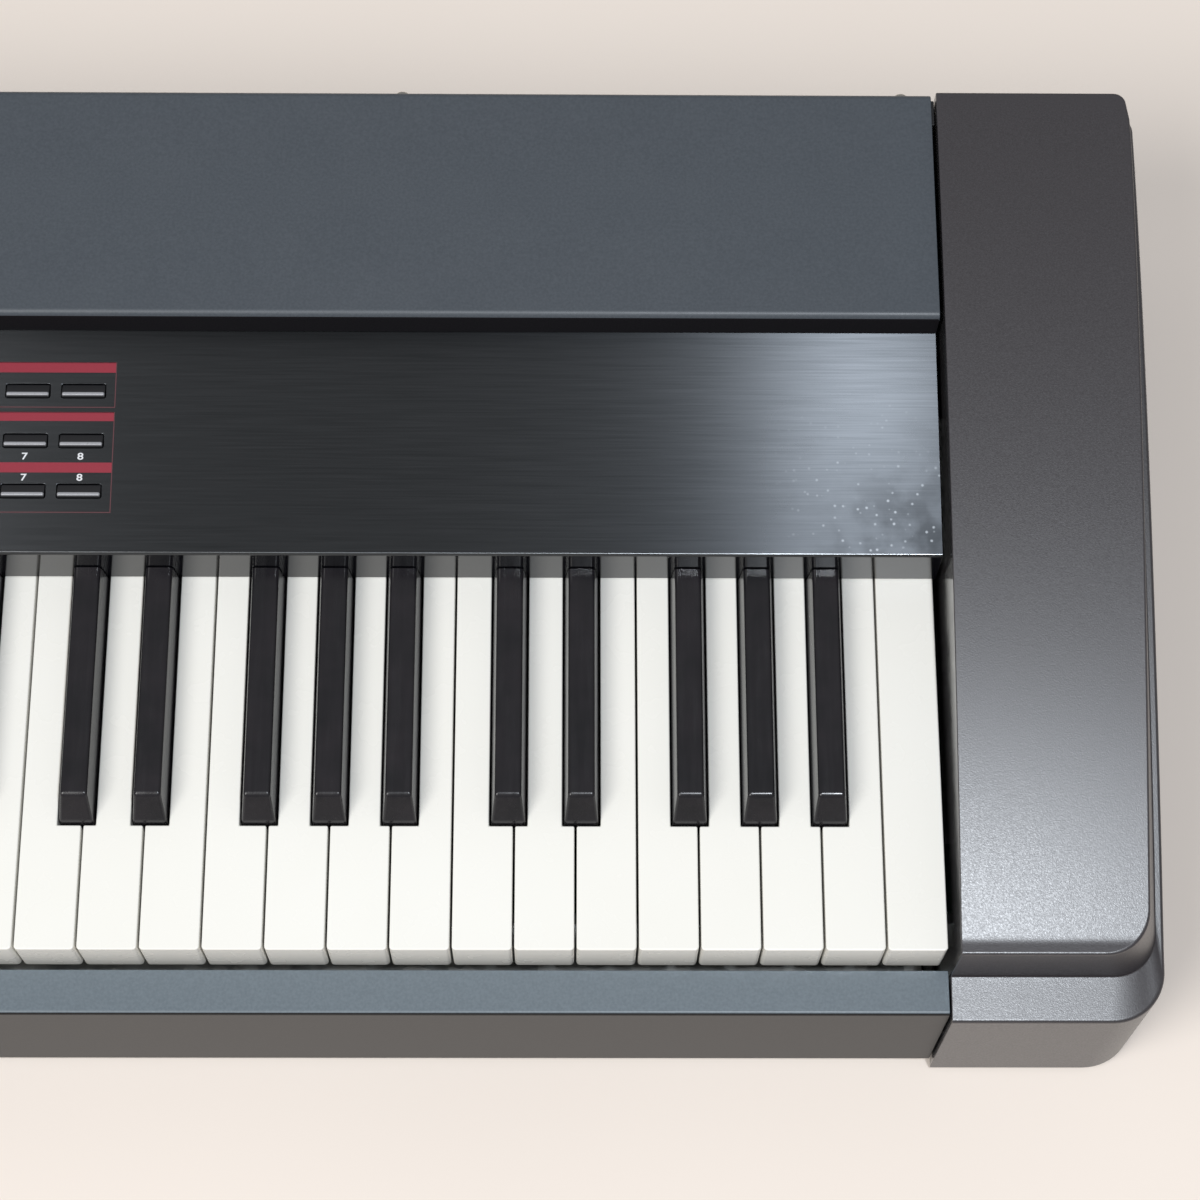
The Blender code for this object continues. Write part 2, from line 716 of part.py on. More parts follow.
def add_end_block(name, side):
    """A hollow block, open below. The left one mirrors the right one."""
    mirror = Matrix.Diagonal((side, 1.0, 1.0, 1.0))
    outer = block_mesh(name, 0.0)
    hollow = block_mesh(name + "_hollow", BLOCK_WALL)
    for mesh in (outer, hollow):
        mesh.transform(mirror)
        clean(mesh)
    block = add_part(name, outer, MOULDED)
    boolean(block, add_part(name + "_hollow", hollow, MOULDED), "DIFFERENCE")


# Sheet metal of the casing
def add_base_tray():
    """Folded steel tray: bottom, low end and front flanges, and the full-height rear wall."""
    front = KEY_Y - SLIP_BACK - SLIP_TOP_DEPTH - SLIP_LEAN + SLIP_SHEET + SLIP_FOOT + SEAT_GAP
    bottom = FOOT_HEIGHT
    flange_top = bottom + TRAY_FLANGE_HEIGHT
    tray = add_box(
        "base_tray", (-TRAY_HALF, front, bottom), (TRAY_HALF, WALL_Y, flange_top), BLACK_STEEL
    )
    low = (-TRAY_HALF + TRAY_SHEET, front + TRAY_SHEET, bottom + TRAY_SHEET)
    high = (TRAY_HALF - TRAY_SHEET, WALL_Y - TRAY_SHEET, flange_top + TRAY_SHEET)
    boolean(tray, add_box("tray_inside", low, high, BLACK_STEEL), "DIFFERENCE")
    top = cover_underside(WALL_Y - WALL_TOP_FLANGE) - SEAT_GAP
    wall_profile = [
        (WALL_Y, bottom + TRAY_SHEET / 2), (WALL_Y, top), (WALL_Y - WALL_TOP_FLANGE, top),
        (WALL_Y - WALL_TOP_FLANGE, top - TRAY_SHEET), (WALL_Y - TRAY_SHEET, top - TRAY_SHEET),
        (WALL_Y - TRAY_SHEET, bottom + TRAY_SHEET / 2),
    ]
    wall = add_extruded("tray_wall", [wall_profile], "YZ", -TRAY_HALF, TRAY_HALF, BLACK_STEEL)
    boolean(tray, wall, "UNION")
    jack_low, jack_high = jack_window()
    boolean(tray, add_box("jack_window", jack_low, jack_high, BLACK_STEEL), "DIFFERENCE")
    inlet_low, inlet_high = inlet_body(SEAT_GAP)
    boolean(tray, add_box("inlet_window", inlet_low, inlet_high, BLACK_STEEL), "DIFFERENCE")


def panel_height(y):
    return KEY_Z + PANEL_RISE + (y - PANEL_Y) * math.tan(PANEL_TILT)


def cover_top(y):
    share = (y - COVER_Y) / COVER_DEPTH
    return KEY_Z + COVER_RISE + (COVER_REAR_RISE - COVER_RISE) * share


def cover_underside(y):
    return cover_top(y) - COVER_SHEET


def add_rear_cover():
    """Painted sheet: short lip standing on the panel, rolled front edge, flange down the rear."""
    radius = COVER_SHEET + COVER_BEND
    lip_bottom = panel_height(COVER_Y + COVER_SHEET) + SEAT_GAP
    roll = arc((COVER_Y + radius, cover_top(COVER_Y + radius) - radius), radius, 180, 95, 4)
    rear = REAR_Y - COVER_REAR_INSET
    rear_roll = arc((rear - radius, cover_top(rear - radius) - radius), radius, 85, 0, 3)
    flange_bottom = KEY_Z + COVER_REAR_RISE - COVER_REAR_FLANGE
    path = [(COVER_Y, lip_bottom), *roll, *rear_roll, (rear, flange_bottom)]
    add_folded_sheet("rear_cover", path, PANEL_HALF, COVER_SHEET, PAINT)


def add_key_slip():
    """The rail in front of the keys: short lip behind, flat top, leaning front, foot below."""
    back = KEY_Y - SLIP_BACK
    front = back - SLIP_TOP_DEPTH
    radius = SLIP_SHEET + SLIP_BEND
    path = [
        (back, SLIP_Z - SLIP_BACK_LIP), (back, SLIP_Z),
        *arc((front + radius, SLIP_Z - radius), radius, 90, 178, 3),
        (front - SLIP_LEAN, FOOT_HEIGHT), (front - SLIP_LEAN + SLIP_SHEET + SLIP_FOOT, FOOT_HEIGHT),
    ]
    add_folded_sheet("key_slip", path[::-1], SLIP_HALF, SLIP_SHEET, PAINT)


def add_keybed_frame():
    """Folded steel under the keys: front shelf, bed, fulcrum ridge, and the panel's upstand."""
    foot_top = FLOOR_Z + SEAT_GAP + FRAME_SHEET
    shelf_front = KEY_Y + FRAME_FRONT
    shelf_back = shelf_front + SHELF_DEPTH
    bed = KEY_Z - BED_DROP
    ridge = TAIL_Z - SEAT_GAP
    half = FULCRUM_WIDTH / 2
    upstand = COVER_Y + UPSTAND_TUCK
    upstand_top = panel_height(upstand) - PANEL_SHEET / math.cos(PANEL_TILT) - SEAT_GAP
    flank = ridge - 2 * FULCRUM_FLANK
    path = [
        (shelf_front - FRAME_FOOT, foot_top), (shelf_front, foot_top), (shelf_front, SHELF_Z),
        (shelf_back, SHELF_Z), (shelf_back, bed), (PIVOT_Y - half - FULCRUM_FLANK, bed),
        (PIVOT_Y - half - FULCRUM_FLANK, flank), (PIVOT_Y - half, ridge), (PIVOT_Y + half, ridge),
        (PIVOT_Y + half + FULCRUM_FLANK, flank), (PIVOT_Y + half + FULCRUM_FLANK, foot_top),
        (upstand, foot_top), (upstand, upstand_top),
        (upstand + UPSTAND_FLANGE, upstand_top),
    ]
    add_folded_sheet("keybed_frame", path, FRAME_HALF, FRAME_SHEET, STEEL)


def add_contact_board():
    """Circuit board on the frame's shelf, with the rubber contact strip along it."""
    front = KEY_Y + FRAME_FRONT + (SHELF_DEPTH - CONTACT_BOARD_DEPTH) / 2
    low = SHELF_Z + SEAT_GAP
    board_top = low + BOARD_THICKNESS
    board = add_box(
        "contact_board", (-HALF_KEYS, front, low), (HALF_KEYS, front + CONTACT_BOARD_DEPTH, board_top),
        BOARD,
    )
    strip_front = front + CONTACT_STRIP_DEPTH / 2
    strip_low = (-HALF_KEYS + WHITE_PITCH / 2, strip_front, low + BOARD_THICKNESS / 2)
    strip_high = (
        HALF_KEYS - WHITE_PITCH / 2, strip_front + CONTACT_STRIP_DEPTH,
        board_top + CONTACT_STRIP_HEIGHT,
    )
    boolean(board, add_box("contact_strip", strip_low, strip_high, RUBBER), "UNION")


# Pieces in the panel are made flat, as (across, run back from the front edge, lift), then tilted
def panel_place():
    turn = Matrix.Rotation(PANEL_TILT, 4, "X")
    return Matrix.Translation((0, PANEL_Y, KEY_Z + PANEL_RISE)) @ turn


def tilt_to_panel(piece, origin=None):
    """Puts a piece made flat on the panel, with its origin at a point of the flat layout."""
    if origin is not None:
        piece.data.transform(Matrix.Translation(-Vector(origin)))
    centre = Vector(origin or (0, 0, 0))
    piece.matrix_world = panel_place() @ Matrix.Translation(centre)


def button_x(column):
    return PANEL_HALF - BUTTON_LAST_COLUMN_INSET - (BUTTON_COLUMNS - 1 - column) * BUTTON_PITCH


def button_run(row):
    return BUTTON_FIRST_ROW_RUN + row * BUTTON_ROW_PITCH


def lever_x():
    return -PANEL_HALF + LEVER_INSET


def slider_x(number):
    return -PANEL_HALF + SLIDER_INSET + number * SLIDER_SPACING


def slider_run():
    return DISPLAY_RUN


def lever_slot_half():
    reach = LEVER_DRUM_RADIUS + PANEL_SHEET + SEAT_GAP
    half = reach * math.tan(LEVER_SWING) + LEVER_WIDTH / 2 / math.cos(LEVER_SWING)
    return half + LEVER_SLOT_CLEARANCE


def flat_cutter(name, x, run, width, depth):
    low = (x - width / 2, run - depth / 2, -2 * PANEL_SHEET)
    high = (x + width / 2, run + depth / 2, 2 * PANEL_SHEET)
    cutter = add_box(name, low, high, BRUSHED)
    tilt_to_panel(cutter)
    return cutter


def merged_cutter(name, cutters):
    """Joins cutters that don't touch into one mesh, so that one Boolean makes all the holes."""
    shape = bmesh.new()
    for cutter in cutters:
        mesh = cutter.data.copy()
        mesh.transform(cutter.matrix_basis)
        shape.from_mesh(mesh)
        bpy.data.meshes.remove(mesh)
        bpy.data.objects.remove(cutter, do_unlink=True)
    mesh = bpy.data.meshes.new(name)
    shape.to_mesh(mesh)
    shape.free()
    return add_part(name, mesh, BRUSHED)


def add_control_panel():
    """Metal panel: glossy face behind the keys, tilted top, tucked under the cover's lip."""
    face_bottom = KEY_Z + PANEL_RISE - PANEL_FACE_HEIGHT
    back = COVER_Y + PANEL_TUCK
    path = [(PANEL_Y, face_bottom), (PANEL_Y, KEY_Z + PANEL_RISE), (back, panel_height(back))]
    panel = add_folded_sheet("control_panel", path, PANEL_HALF, PANEL_SHEET, BRUSHED)
    holes = []
    for row in range(3):
        for column in range(BUTTON_COLUMNS):
            name = f"slot_{row}_{column}"
            holes.append(flat_cutter(name, button_x(column), button_run(row), SLOT_WIDTH, SLOT_RUN))
    for number in range(2):
        x = slider_x(number)
        holes.append(
            flat_cutter(f"slider_slot_{number}", x, slider_run(), SLIDER_SLOT_WIDTH, SLIDER_SLOT_RUN)
        )
    holes.append(flat_cutter("window_hole", DISPLAY_OFFSET, DISPLAY_RUN, WINDOW_WIDTH, WINDOW_RUN))
    lever_depth = LEVER_DEPTH + 2 * LEVER_SLOT_CLEARANCE
    holes.append(
        flat_cutter("lever_slot", lever_x(), LEVER_RUN, 2 * lever_slot_half(), lever_depth)
    )
    boolean(panel, merged_cutter("panel_holes", holes), "DIFFERENCE")


def cap_profile(run):
    """A button's cap from its side: bright ridge in front, sloping down to the rear."""
    front = run - SLOT_RUN / 2 + CAP_CLEARANCE
    back = run + SLOT_RUN / 2 - CAP_CLEARANCE
    bottom = -PANEL_SHEET - SEAT_GAP - BUTTON_FLANGE_THICKNESS / 2
    ridge_front = front + CAP_CLEARANCE
    return [
        (front, bottom), (back, bottom), (back, -CAP_REAR_DROP),
        (ridge_front + CAP_RIDGE_RUN, CAP_RIDGE_LIFT), (ridge_front, CAP_RIDGE_LIFT),
        (front, CAP_RIDGE_LIFT - CAP_CLEARANCE),
    ]


def add_buttons(name, row, columns):
    """One button, or several on one moulded strip: caps, the flange below the panel, stems."""
    run = button_run(row)
    half = SLOT_WIDTH / 2 - CAP_CLEARANCE
    flange_top = -PANEL_SHEET - SEAT_GAP
    flange_bottom = flange_top - BUTTON_FLANGE_THICKNESS
    margin = SLOT_WIDTH / 2 + BUTTON_FLANGE_MARGIN
    flange_half_run = SLOT_RUN / 2 + BUTTON_FLANGE_MARGIN
    first = button_x(columns[0])
    last = button_x(columns[-1])
    button = add_box(
        name, (first - margin, run - flange_half_run, flange_bottom),
        (last + margin, run + flange_half_run, flange_top), CAP_PLASTIC,
    )
    pieces = []
    for column in columns:
        x = button_x(column)
        cap = add_extruded(
            f"{name}_cap_{column}", [cap_profile(run)], "YZ", x - half, x + half, CAP_PLASTIC
        )
        stem = add_box(
            f"{name}_stem_{column}",
            (x - BUTTON_STEM / 2, run - BUTTON_STEM / 2, flange_bottom - BUTTON_STEM_LENGTH),
            (x + BUTTON_STEM / 2, run + BUTTON_STEM / 2, flange_bottom + BUTTON_FLANGE_THICKNESS / 4),
            CAP_PLASTIC,
        )
        pieces += [cap, stem]
    middle = ((first + last) / 2, run, 0)
    tool = merged_cutter(name + "_caps", pieces)
    for piece in (button, tool):
        tilt_to_panel(piece, middle)
    boolean(button, tool, "UNION")


def add_all_buttons():
    """Rows from the front: numbers, tones, modes. The last two columns are single buttons."""
    singles = range(BUTTON_COLUMNS - SINGLE_COLUMNS, BUTTON_COLUMNS)
    for row, kind in enumerate(("number", "tone", "group")):
        for column in singles:
            add_buttons(f"{kind}_button_{column + 1}", row, [column])
        add_buttons(f"{kind}_buttons_strip", row, list(range(BUTTON_COLUMNS - SINGLE_COLUMNS)))


def add_panel_board():
    """Switch board below the buttons, hung from the panel on spacers."""
    left = button_x(0) - PANEL_BOARD_MARGIN
    right = button_x(BUTTON_COLUMNS - 1) + PANEL_BOARD_MARGIN
    front = button_run(0) - PANEL_BOARD_MARGIN
    back = button_run(2) + PANEL_BOARD_MARGIN
    top = -PANEL_BOARD_DROP
    board = add_box("panel_board", (left, front, top - BOARD_THICKNESS), (right, back, top), BOARD)
    switch_top = (
        -PANEL_SHEET - 2 * SEAT_GAP - BUTTON_FLANGE_THICKNESS - BUTTON_STEM_LENGTH - BUTTON_TRAVEL
    )
    pieces = []
    for row in range(3):
        for column in range(BUTTON_COLUMNS):
            x = button_x(column)
            run = button_run(row)
            pieces.append(add_box(
                f"tact_{row}_{column}",
                (x - TACT_SWITCH / 2, run - TACT_SWITCH / 2, top - BOARD_THICKNESS / 2),
                (x + TACT_SWITCH / 2, run + TACT_SWITCH / 2, switch_top), BOARD,
            ))
    spacer_top = -PANEL_SHEET - SEAT_GAP
    spacer_bottom = top - BOARD_THICKNESS / 2
    for x in (left + SPACER_INSET, right - SPACER_INSET):
        for run in (front + SPACER_INSET, back - SPACER_INSET):
            pieces.append(add_cylinder(
                f"spacer_{x:.3f}_{run:.3f}", (x, run, (spacer_top + spacer_bottom) / 2), (0, 0, 1),
                SPACER_RADIUS, spacer_top - spacer_bottom, BOARD, sides=12,
            ))
    tool = merged_cutter("panel_board_pieces", pieces)
    for piece in (board, tool):
        tilt_to_panel(piece)
    boolean(board, tool, "UNION")


def add_display():
    """The window lies flush in the panel, and the display module is fixed below it."""
    half = WINDOW_WIDTH / 2 - SEAT_GAP
    half_run = WINDOW_RUN / 2 - SEAT_GAP
    window = add_box(
        "display_window", (DISPLAY_OFFSET - half, DISPLAY_RUN - half_run, -PANEL_SHEET),
        (DISPLAY_OFFSET + half, DISPLAY_RUN + half_run, 0), WINDOW,
    )
    tilt_to_panel(window)
    half += DISPLAY_BORDER
    half_run += DISPLAY_BORDER
    top = -PANEL_SHEET - SEAT_GAP
    module = add_box(
        "display_module", (DISPLAY_OFFSET - half, DISPLAY_RUN - half_run, top - DISPLAY_THICKNESS),
        (DISPLAY_OFFSET + half, DISPLAY_RUN + half_run, top), BOARD,
    )
    tilt_to_panel(module)


def add_slider(name, number):
    """A slider: waisted cap over the panel, stem in the slot, carriage under the panel."""
    x = slider_x(number)
    run = slider_run()
    bottom = SEAT_GAP
    top = bottom + SLIDER_CAP_HEIGHT
    half = SLIDER_CAP_RUN / 2
    waist = SLIDER_WAIST / 2
    profile = [
        (run - half, bottom), (run + half, bottom), (run + half, top - SLIDER_CAP_HEIGHT / 3),
        (run + waist, top), (run, top - SLIDER_CAP_HEIGHT / 5), (run - waist, top),
        (run - half, top - SLIDER_CAP_HEIGHT / 3),
    ]
    half_width = SLIDER_CAP_WIDTH / 2
    cap = add_extruded(name, [profile], "YZ", x - half_width, x + half_width, CAP_PLASTIC)
    carriage_top = -PANEL_SHEET - SEAT_GAP
    stem = add_box(
        name + "_stem", (x - SLIDER_STEM_WIDTH / 2, run - SLIDER_STEM_RUN / 2, carriage_top - SEAT_GAP),
        (x + SLIDER_STEM_WIDTH / 2, run + SLIDER_STEM_RUN / 2, bottom + SEAT_GAP), CAP_PLASTIC,
    )
    carriage_half = SLIDER_CARRIAGE_WIDTH / 2
    carriage = add_box(
        name + "_carriage", (x - carriage_half, run - carriage_half, carriage_top - SLIDER_CARRIAGE_HEIGHT),
        (x + carriage_half, run + carriage_half, carriage_top), CAP_PLASTIC,
    )
    for piece in (cap, stem, carriage):
        tilt_to_panel(piece, (x, run, 0))
    boolean(cap, stem, "UNION")
    boolean(cap, carriage, "UNION")


def add_bender_lever():
    """A drum on its side under the panel, with a paddle that stands up through the slot."""
    x = lever_x()
    axis_lift = -PANEL_SHEET - SEAT_GAP - LEVER_DRUM_RADIUS
    drum = add_cylinder(
        "bender_lever", (x, LEVER_RUN, axis_lift), (0, 1, 0), LEVER_DRUM_RADIUS, LEVER_DRUM_LENGTH,
        CAP_PLASTIC, sides=32,
    )
    half = LEVER_WIDTH / 2
    tip = LEVER_TIP_WIDTH / 2
    outline = [
        (x + half, axis_lift), (x + half, 0), (x + tip, LEVER_HEIGHT - tip),
        *arc((x, LEVER_HEIGHT - tip), tip, 30, 150, 3),
        (x - tip, LEVER_HEIGHT - tip), (x - half, 0), (x - half, axis_lift),
    ]
    run = LEVER_RUN
    paddle = add_extruded(
        "bender_paddle", [outline], "XZ", run - LEVER_DEPTH / 2, run + LEVER_DEPTH / 2, CAP_PLASTIC
    )
    for piece in (drum, paddle):
        tilt_to_panel(piece, (x, LEVER_RUN, axis_lift))
    boolean(drum, paddle, "UNION")


# Rear connectors
def jack_positions():
    """Centres of the sockets along X, as (x, bore radius). Seen from behind, X runs to the left."""
    row = []
    for number in range(JACK_COUNT):
        row.append((JACKS_OFFSET + number * JACK_SPACING, JACK_BORE))
    for number in range(DIN_COUNT):
        row.append((JACKS_OFFSET - JACK_SPACING - number * DIN_SPACING, DIN_BORE))
    return row


def jack_block_box():
    places = [x for x, _ in jack_positions()]
    half = JACK_BLOCK_HEIGHT / 2
    middle = FOOT_HEIGHT + JACK_HEIGHT
    face = WALL_Y - TRAY_SHEET - JACK_PLATE_SHEET - 2 * SEAT_GAP
    low = (min(places) - JACK_BLOCK_MARGIN, face - JACK_BLOCK_DEPTH, middle - half)
    high = (max(places) + JACK_BLOCK_MARGIN, face, middle + half)
    return low, high


def jack_window():
    """The opening in the tray's rear wall that shows the jack plate."""
    low, high = jack_block_box()
    return (low[0], WALL_Y - 3 * TRAY_SHEET, low[2]), (high[0], WALL_Y + TRAY_SHEET, high[2])


def socket_bores(name, front, back):
    pieces = []
    middle = FOOT_HEIGHT + JACK_HEIGHT
    for number, (x, radius) in enumerate(jack_positions()):
        pieces.append(add_cylinder(
            f"{name}_{number}", (x, (front + back) / 2, middle), (0, 1, 0), radius, back - front,
            SOCKET, sides=16,
        ))
    return merged_cutter(name, pieces)


def add_jacks():
    """Steel plate behind the wall's opening, and the moulded block of sockets behind the plate."""
    low, high = jack_block_box()
    plate_back = WALL_Y - TRAY_SHEET - SEAT_GAP
    over = JACK_PLATE_OVERLAP
    plate = add_box(
        "jack_plate", (low[0] - over, plate_back - JACK_PLATE_SHEET, low[2] - over),
        (high[0] + over, plate_back, high[2] + over), BLACK_STEEL,
    )
    boolean(plate, socket_bores("plate_bores", high[1], WALL_Y), "DIFFERENCE")
    block = add_box("jack_block", low, high, SOCKET)
    bores = socket_bores("block_bores", low[1] + JACK_BLOCK_WALL, WALL_Y)
    boolean(block, bores, "DIFFERENCE")


def inlet_centre():
    return PANEL_HALF - INLET_INSET, FOOT_HEIGHT + INLET_HEIGHT


def inlet_size():
    """Width and height of the inlet's body: the socket and, beside it, the rocker's well."""
    well = ROCKER_WIDTH + 2 * ROCKER_CLEARANCE
    width = INLET_SOCKET_WIDTH + well + 3 * INLET_WALL
    height = max(INLET_SOCKET_HEIGHT, 2 * (ROCKER_RADIUS + ROCKER_CLEARANCE)) + 2 * INLET_WALL
    return width, height


def inlet_body(margin):
    x, z = inlet_centre()
    width, height = inlet_size()
    low = (x - width / 2 - margin, WALL_Y - INLET_DEPTH, z - height / 2 - margin)
    high = (x + width / 2 + margin, WALL_Y + INLET_FLANGE_THICKNESS / 2, z + height / 2 + margin)
    return low, high


def rocker_centre():
    x, z = inlet_centre()
    width, _ = inlet_size()
    well = ROCKER_WIDTH + 2 * ROCKER_CLEARANCE
    face = WALL_Y + SEAT_GAP + INLET_FLANGE_THICKNESS
    reach = ROCKER_RADIUS * math.cos(math.radians(ROCKER_HALF_ANGLE - ROCKER_TILT))
    return x - width / 2 + INLET_WALL + well / 2, face - reach + SEAT_GAP, z


def add_power_inlet():
    """Mains inlet module: flange outside the wall, socket well, and a well for the rocker."""
    x, z = inlet_centre()
    width, _ = inlet_size()
    low, high = inlet_body(0.0)
    inlet = add_box("power_inlet", low, high, SOCKET)
    flange_low = (low[0] - INLET_FLANGE, WALL_Y + SEAT_GAP, low[2] - INLET_FLANGE)
    flange_high = (
        high[0] + INLET_FLANGE, WALL_Y + SEAT_GAP + INLET_FLANGE_THICKNESS, high[2] + INLET_FLANGE
    )
    boolean(inlet, add_box("inlet_flange", flange_low, flange_high, SOCKET), "UNION")
    face = flange_high[1]
    socket_x = x + width / 2 - INLET_WALL - INLET_SOCKET_WIDTH / 2
    half_height = INLET_SOCKET_HEIGHT / 2
    half_width = INLET_SOCKET_WIDTH / 2
    socket_low = (socket_x - half_width, face - INLET_SOCKET_DEPTH, z - half_height)
    socket_high = (socket_x + half_width, face + SEAT_GAP, z + half_height)
    rocker_x, rocker_y, rocker_z = rocker_centre()
    well_half = ROCKER_WIDTH / 2 + ROCKER_CLEARANCE
    well_reach = ROCKER_RADIUS + ROCKER_CLEARANCE
    well_low = (rocker_x - well_half, rocker_y - well_reach, rocker_z - well_reach)
    well_high = (rocker_x + well_half, face + SEAT_GAP, rocker_z + well_reach)
    wells = [
        add_box("inlet_socket", socket_low, socket_high, SOCKET),
        add_box("rocker_well", well_low, well_high, SOCKET),
    ]
    boolean(inlet, merged_cutter("inlet_wells", wells), "DIFFERENCE")


def add_power_switch():
    """Rocker that tilts in its well: a drum with a notched face, resting on its off side."""
    x, y, z = rocker_centre()
    half = ROCKER_HALF_ANGLE
    around = arc((0, 0), ROCKER_RADIUS, half, 360 - half, 18)
    outline = [*around, (ROCKER_NOTCH, 0.0)]
    rocker = add_extruded(
        "power_switch", [outline], "YZ", -ROCKER_WIDTH / 2, ROCKER_WIDTH / 2, SOCKET
    )
    rocker.data.transform(Matrix.Rotation(math.radians(-ROCKER_TILT), 4, "X"))
    rocker.location = (x, y, z)


# Boards and power supply
def boards_front():
    return COVER_Y + UPSTAND_TUCK + UPSTAND_FLANGE + FRAME_TO_BOARDS


def add_main_board():
    """Main circuit board on short legs, with its larger parts."""
    x = MAIN_BOARD_OFFSET
    front = boards_front()
    back = front + MAIN_BOARD_DEPTH
    half = MAIN_BOARD_WIDTH / 2
    low = FLOOR_Z + MAIN_BOARD_LEG
    top = low + BOARD_THICKNESS
    board = add_box("main_board", (x - half, front, low), (x + half, back, top), BOARD)
    chips = []
    chip = MAIN_BOARD_DEPTH / 3
    for number in range(4):
        left = x - half + (2 * number + 1) * MAIN_BOARD_WIDTH / 9
        chips.append(add_box(
            f"chip_{number}", (left, front + chip, low + BOARD_THICKNESS / 2),
            (left + MAIN_BOARD_WIDTH / 9, front + 2 * chip, top + 2 * BOARD_THICKNESS), BOARD,
        ))
    leg_bottom = FLOOR_Z + SEAT_GAP
    leg_top = low + BOARD_THICKNESS / 2
    for leg_x in (x - half + SPACER_INSET, x + half - SPACER_INSET):
        for leg_y in (front + SPACER_INSET, back - SPACER_INSET):
            chips.append(add_cylinder(
                f"leg_{leg_x:.3f}_{leg_y:.3f}", (leg_x, leg_y, (leg_bottom + leg_top) / 2),
                (0, 0, 1), SPACER_RADIUS, leg_top - leg_bottom, BOARD, sides=12,
            ))
    boolean(board, merged_cutter("main_board_pieces", chips), "UNION")


def add_power_supply():
    """Transformer in its can, on two ears that are screwed to the tray."""
    x = PANEL_HALF - SUPPLY_INSET - SUPPLY_WIDTH / 2
    front = boards_front()
    back = front + SUPPLY_DEPTH
    bottom = FLOOR_Z + SEAT_GAP
    half = SUPPLY_WIDTH / 2
    can_high = (x + half, back, bottom + SUPPLY_HEIGHT)
    can = add_box("power_supply", (x - half, front, bottom), can_high, STEEL)
    inset = SUPPLY_EAR / 2
    ears_low = (x - half - SUPPLY_EAR, front + inset, bottom)
    ears_high = (x + half + SUPPLY_EAR, back - inset, bottom + FRAME_SHEET)
    boolean(can, add_box("supply_ears", ears_low, ears_high, STEEL), "UNION")


def add_feet():
    """Four rubber feet below the tray."""
    height = FOOT_HEIGHT - SEAT_GAP
    x_inset = HALF_KEYS - FOOT_SIDE_INSET
    places = {
        "foot_front_left": (-x_inset, FRONT_Y + FOOT_FRONT_INSET),
        "foot_front_right": (x_inset, FRONT_Y + FOOT_FRONT_INSET),
        "foot_rear_left": (-x_inset, REAR_Y - FOOT_REAR_INSET),
        "foot_rear_right": (x_inset, REAR_Y - FOOT_REAR_INSET),
    }
    for name, (x, y) in places.items():
        tip = FOOT_RADIUS - FOOT_TAPER
        add_cylinder(name, (x, y, height / 2), (0, 0, -1), FOOT_RADIUS, height, RUBBER, tip_radius=tip)


add_base_tray()
add_rear_cover()
add_key_slip()
add_end_block("end_block_right", 1)
add_end_block("end_block_left", -1)
add_control_panel()
add_keybed_frame()
add_contact_board()
add_keys()
add_all_buttons()
add_panel_board()
add_display()
add_slider("volume_slider", 0)
add_slider("tone_slider", 1)
add_bender_lever()
add_jacks()
add_power_inlet()
add_power_switch()
add_main_board()
add_power_supply()
add_feet()

for part in PARTS.objects:
    part.data.shade_smooth()
    part.data.set_sharp_from_angle(angle=SHARP_ANGLE)
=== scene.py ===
# %% [markdown]
# # Dressing a stage piano for its portrait
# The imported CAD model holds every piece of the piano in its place, as plain solids. This notebook
# gives them their real edges, finishes and small parts, and then sets up a studio photograph.
# No CAD piece is ever moved: a richer piece stands in for it and rides on the same moving body.

# %% Load the frame
import json
import math

import bmesh
import bpy
from mathutils import Matrix, Vector

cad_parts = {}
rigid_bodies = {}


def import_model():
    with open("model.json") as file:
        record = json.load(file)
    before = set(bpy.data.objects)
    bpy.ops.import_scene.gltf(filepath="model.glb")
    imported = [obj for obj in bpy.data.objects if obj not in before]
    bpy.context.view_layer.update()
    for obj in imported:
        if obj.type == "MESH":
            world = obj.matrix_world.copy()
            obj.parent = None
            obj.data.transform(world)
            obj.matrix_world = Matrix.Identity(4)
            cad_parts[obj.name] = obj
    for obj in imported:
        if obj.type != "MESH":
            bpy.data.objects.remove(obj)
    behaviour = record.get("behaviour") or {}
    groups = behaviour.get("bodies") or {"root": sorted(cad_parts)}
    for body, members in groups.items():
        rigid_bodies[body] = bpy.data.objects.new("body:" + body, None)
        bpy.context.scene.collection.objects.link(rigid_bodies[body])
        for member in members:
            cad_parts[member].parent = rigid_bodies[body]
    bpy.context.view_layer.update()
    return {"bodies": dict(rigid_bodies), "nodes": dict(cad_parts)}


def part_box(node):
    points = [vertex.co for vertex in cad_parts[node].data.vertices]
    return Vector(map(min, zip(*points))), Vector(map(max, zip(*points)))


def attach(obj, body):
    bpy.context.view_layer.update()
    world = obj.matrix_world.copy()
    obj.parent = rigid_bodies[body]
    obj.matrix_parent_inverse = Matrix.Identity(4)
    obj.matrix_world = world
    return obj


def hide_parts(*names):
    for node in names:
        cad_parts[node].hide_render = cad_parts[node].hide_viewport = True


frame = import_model()
MM = 0.001

# %% [markdown]
# A keyboard is measured from its keys, so the driving sizes come from them: the pitch of the white
# keys, the height of their tops and the line of their front edges. The other pieces give the
# places that they take in the frame. Sizes that no node shows are named here once, in millimetres.

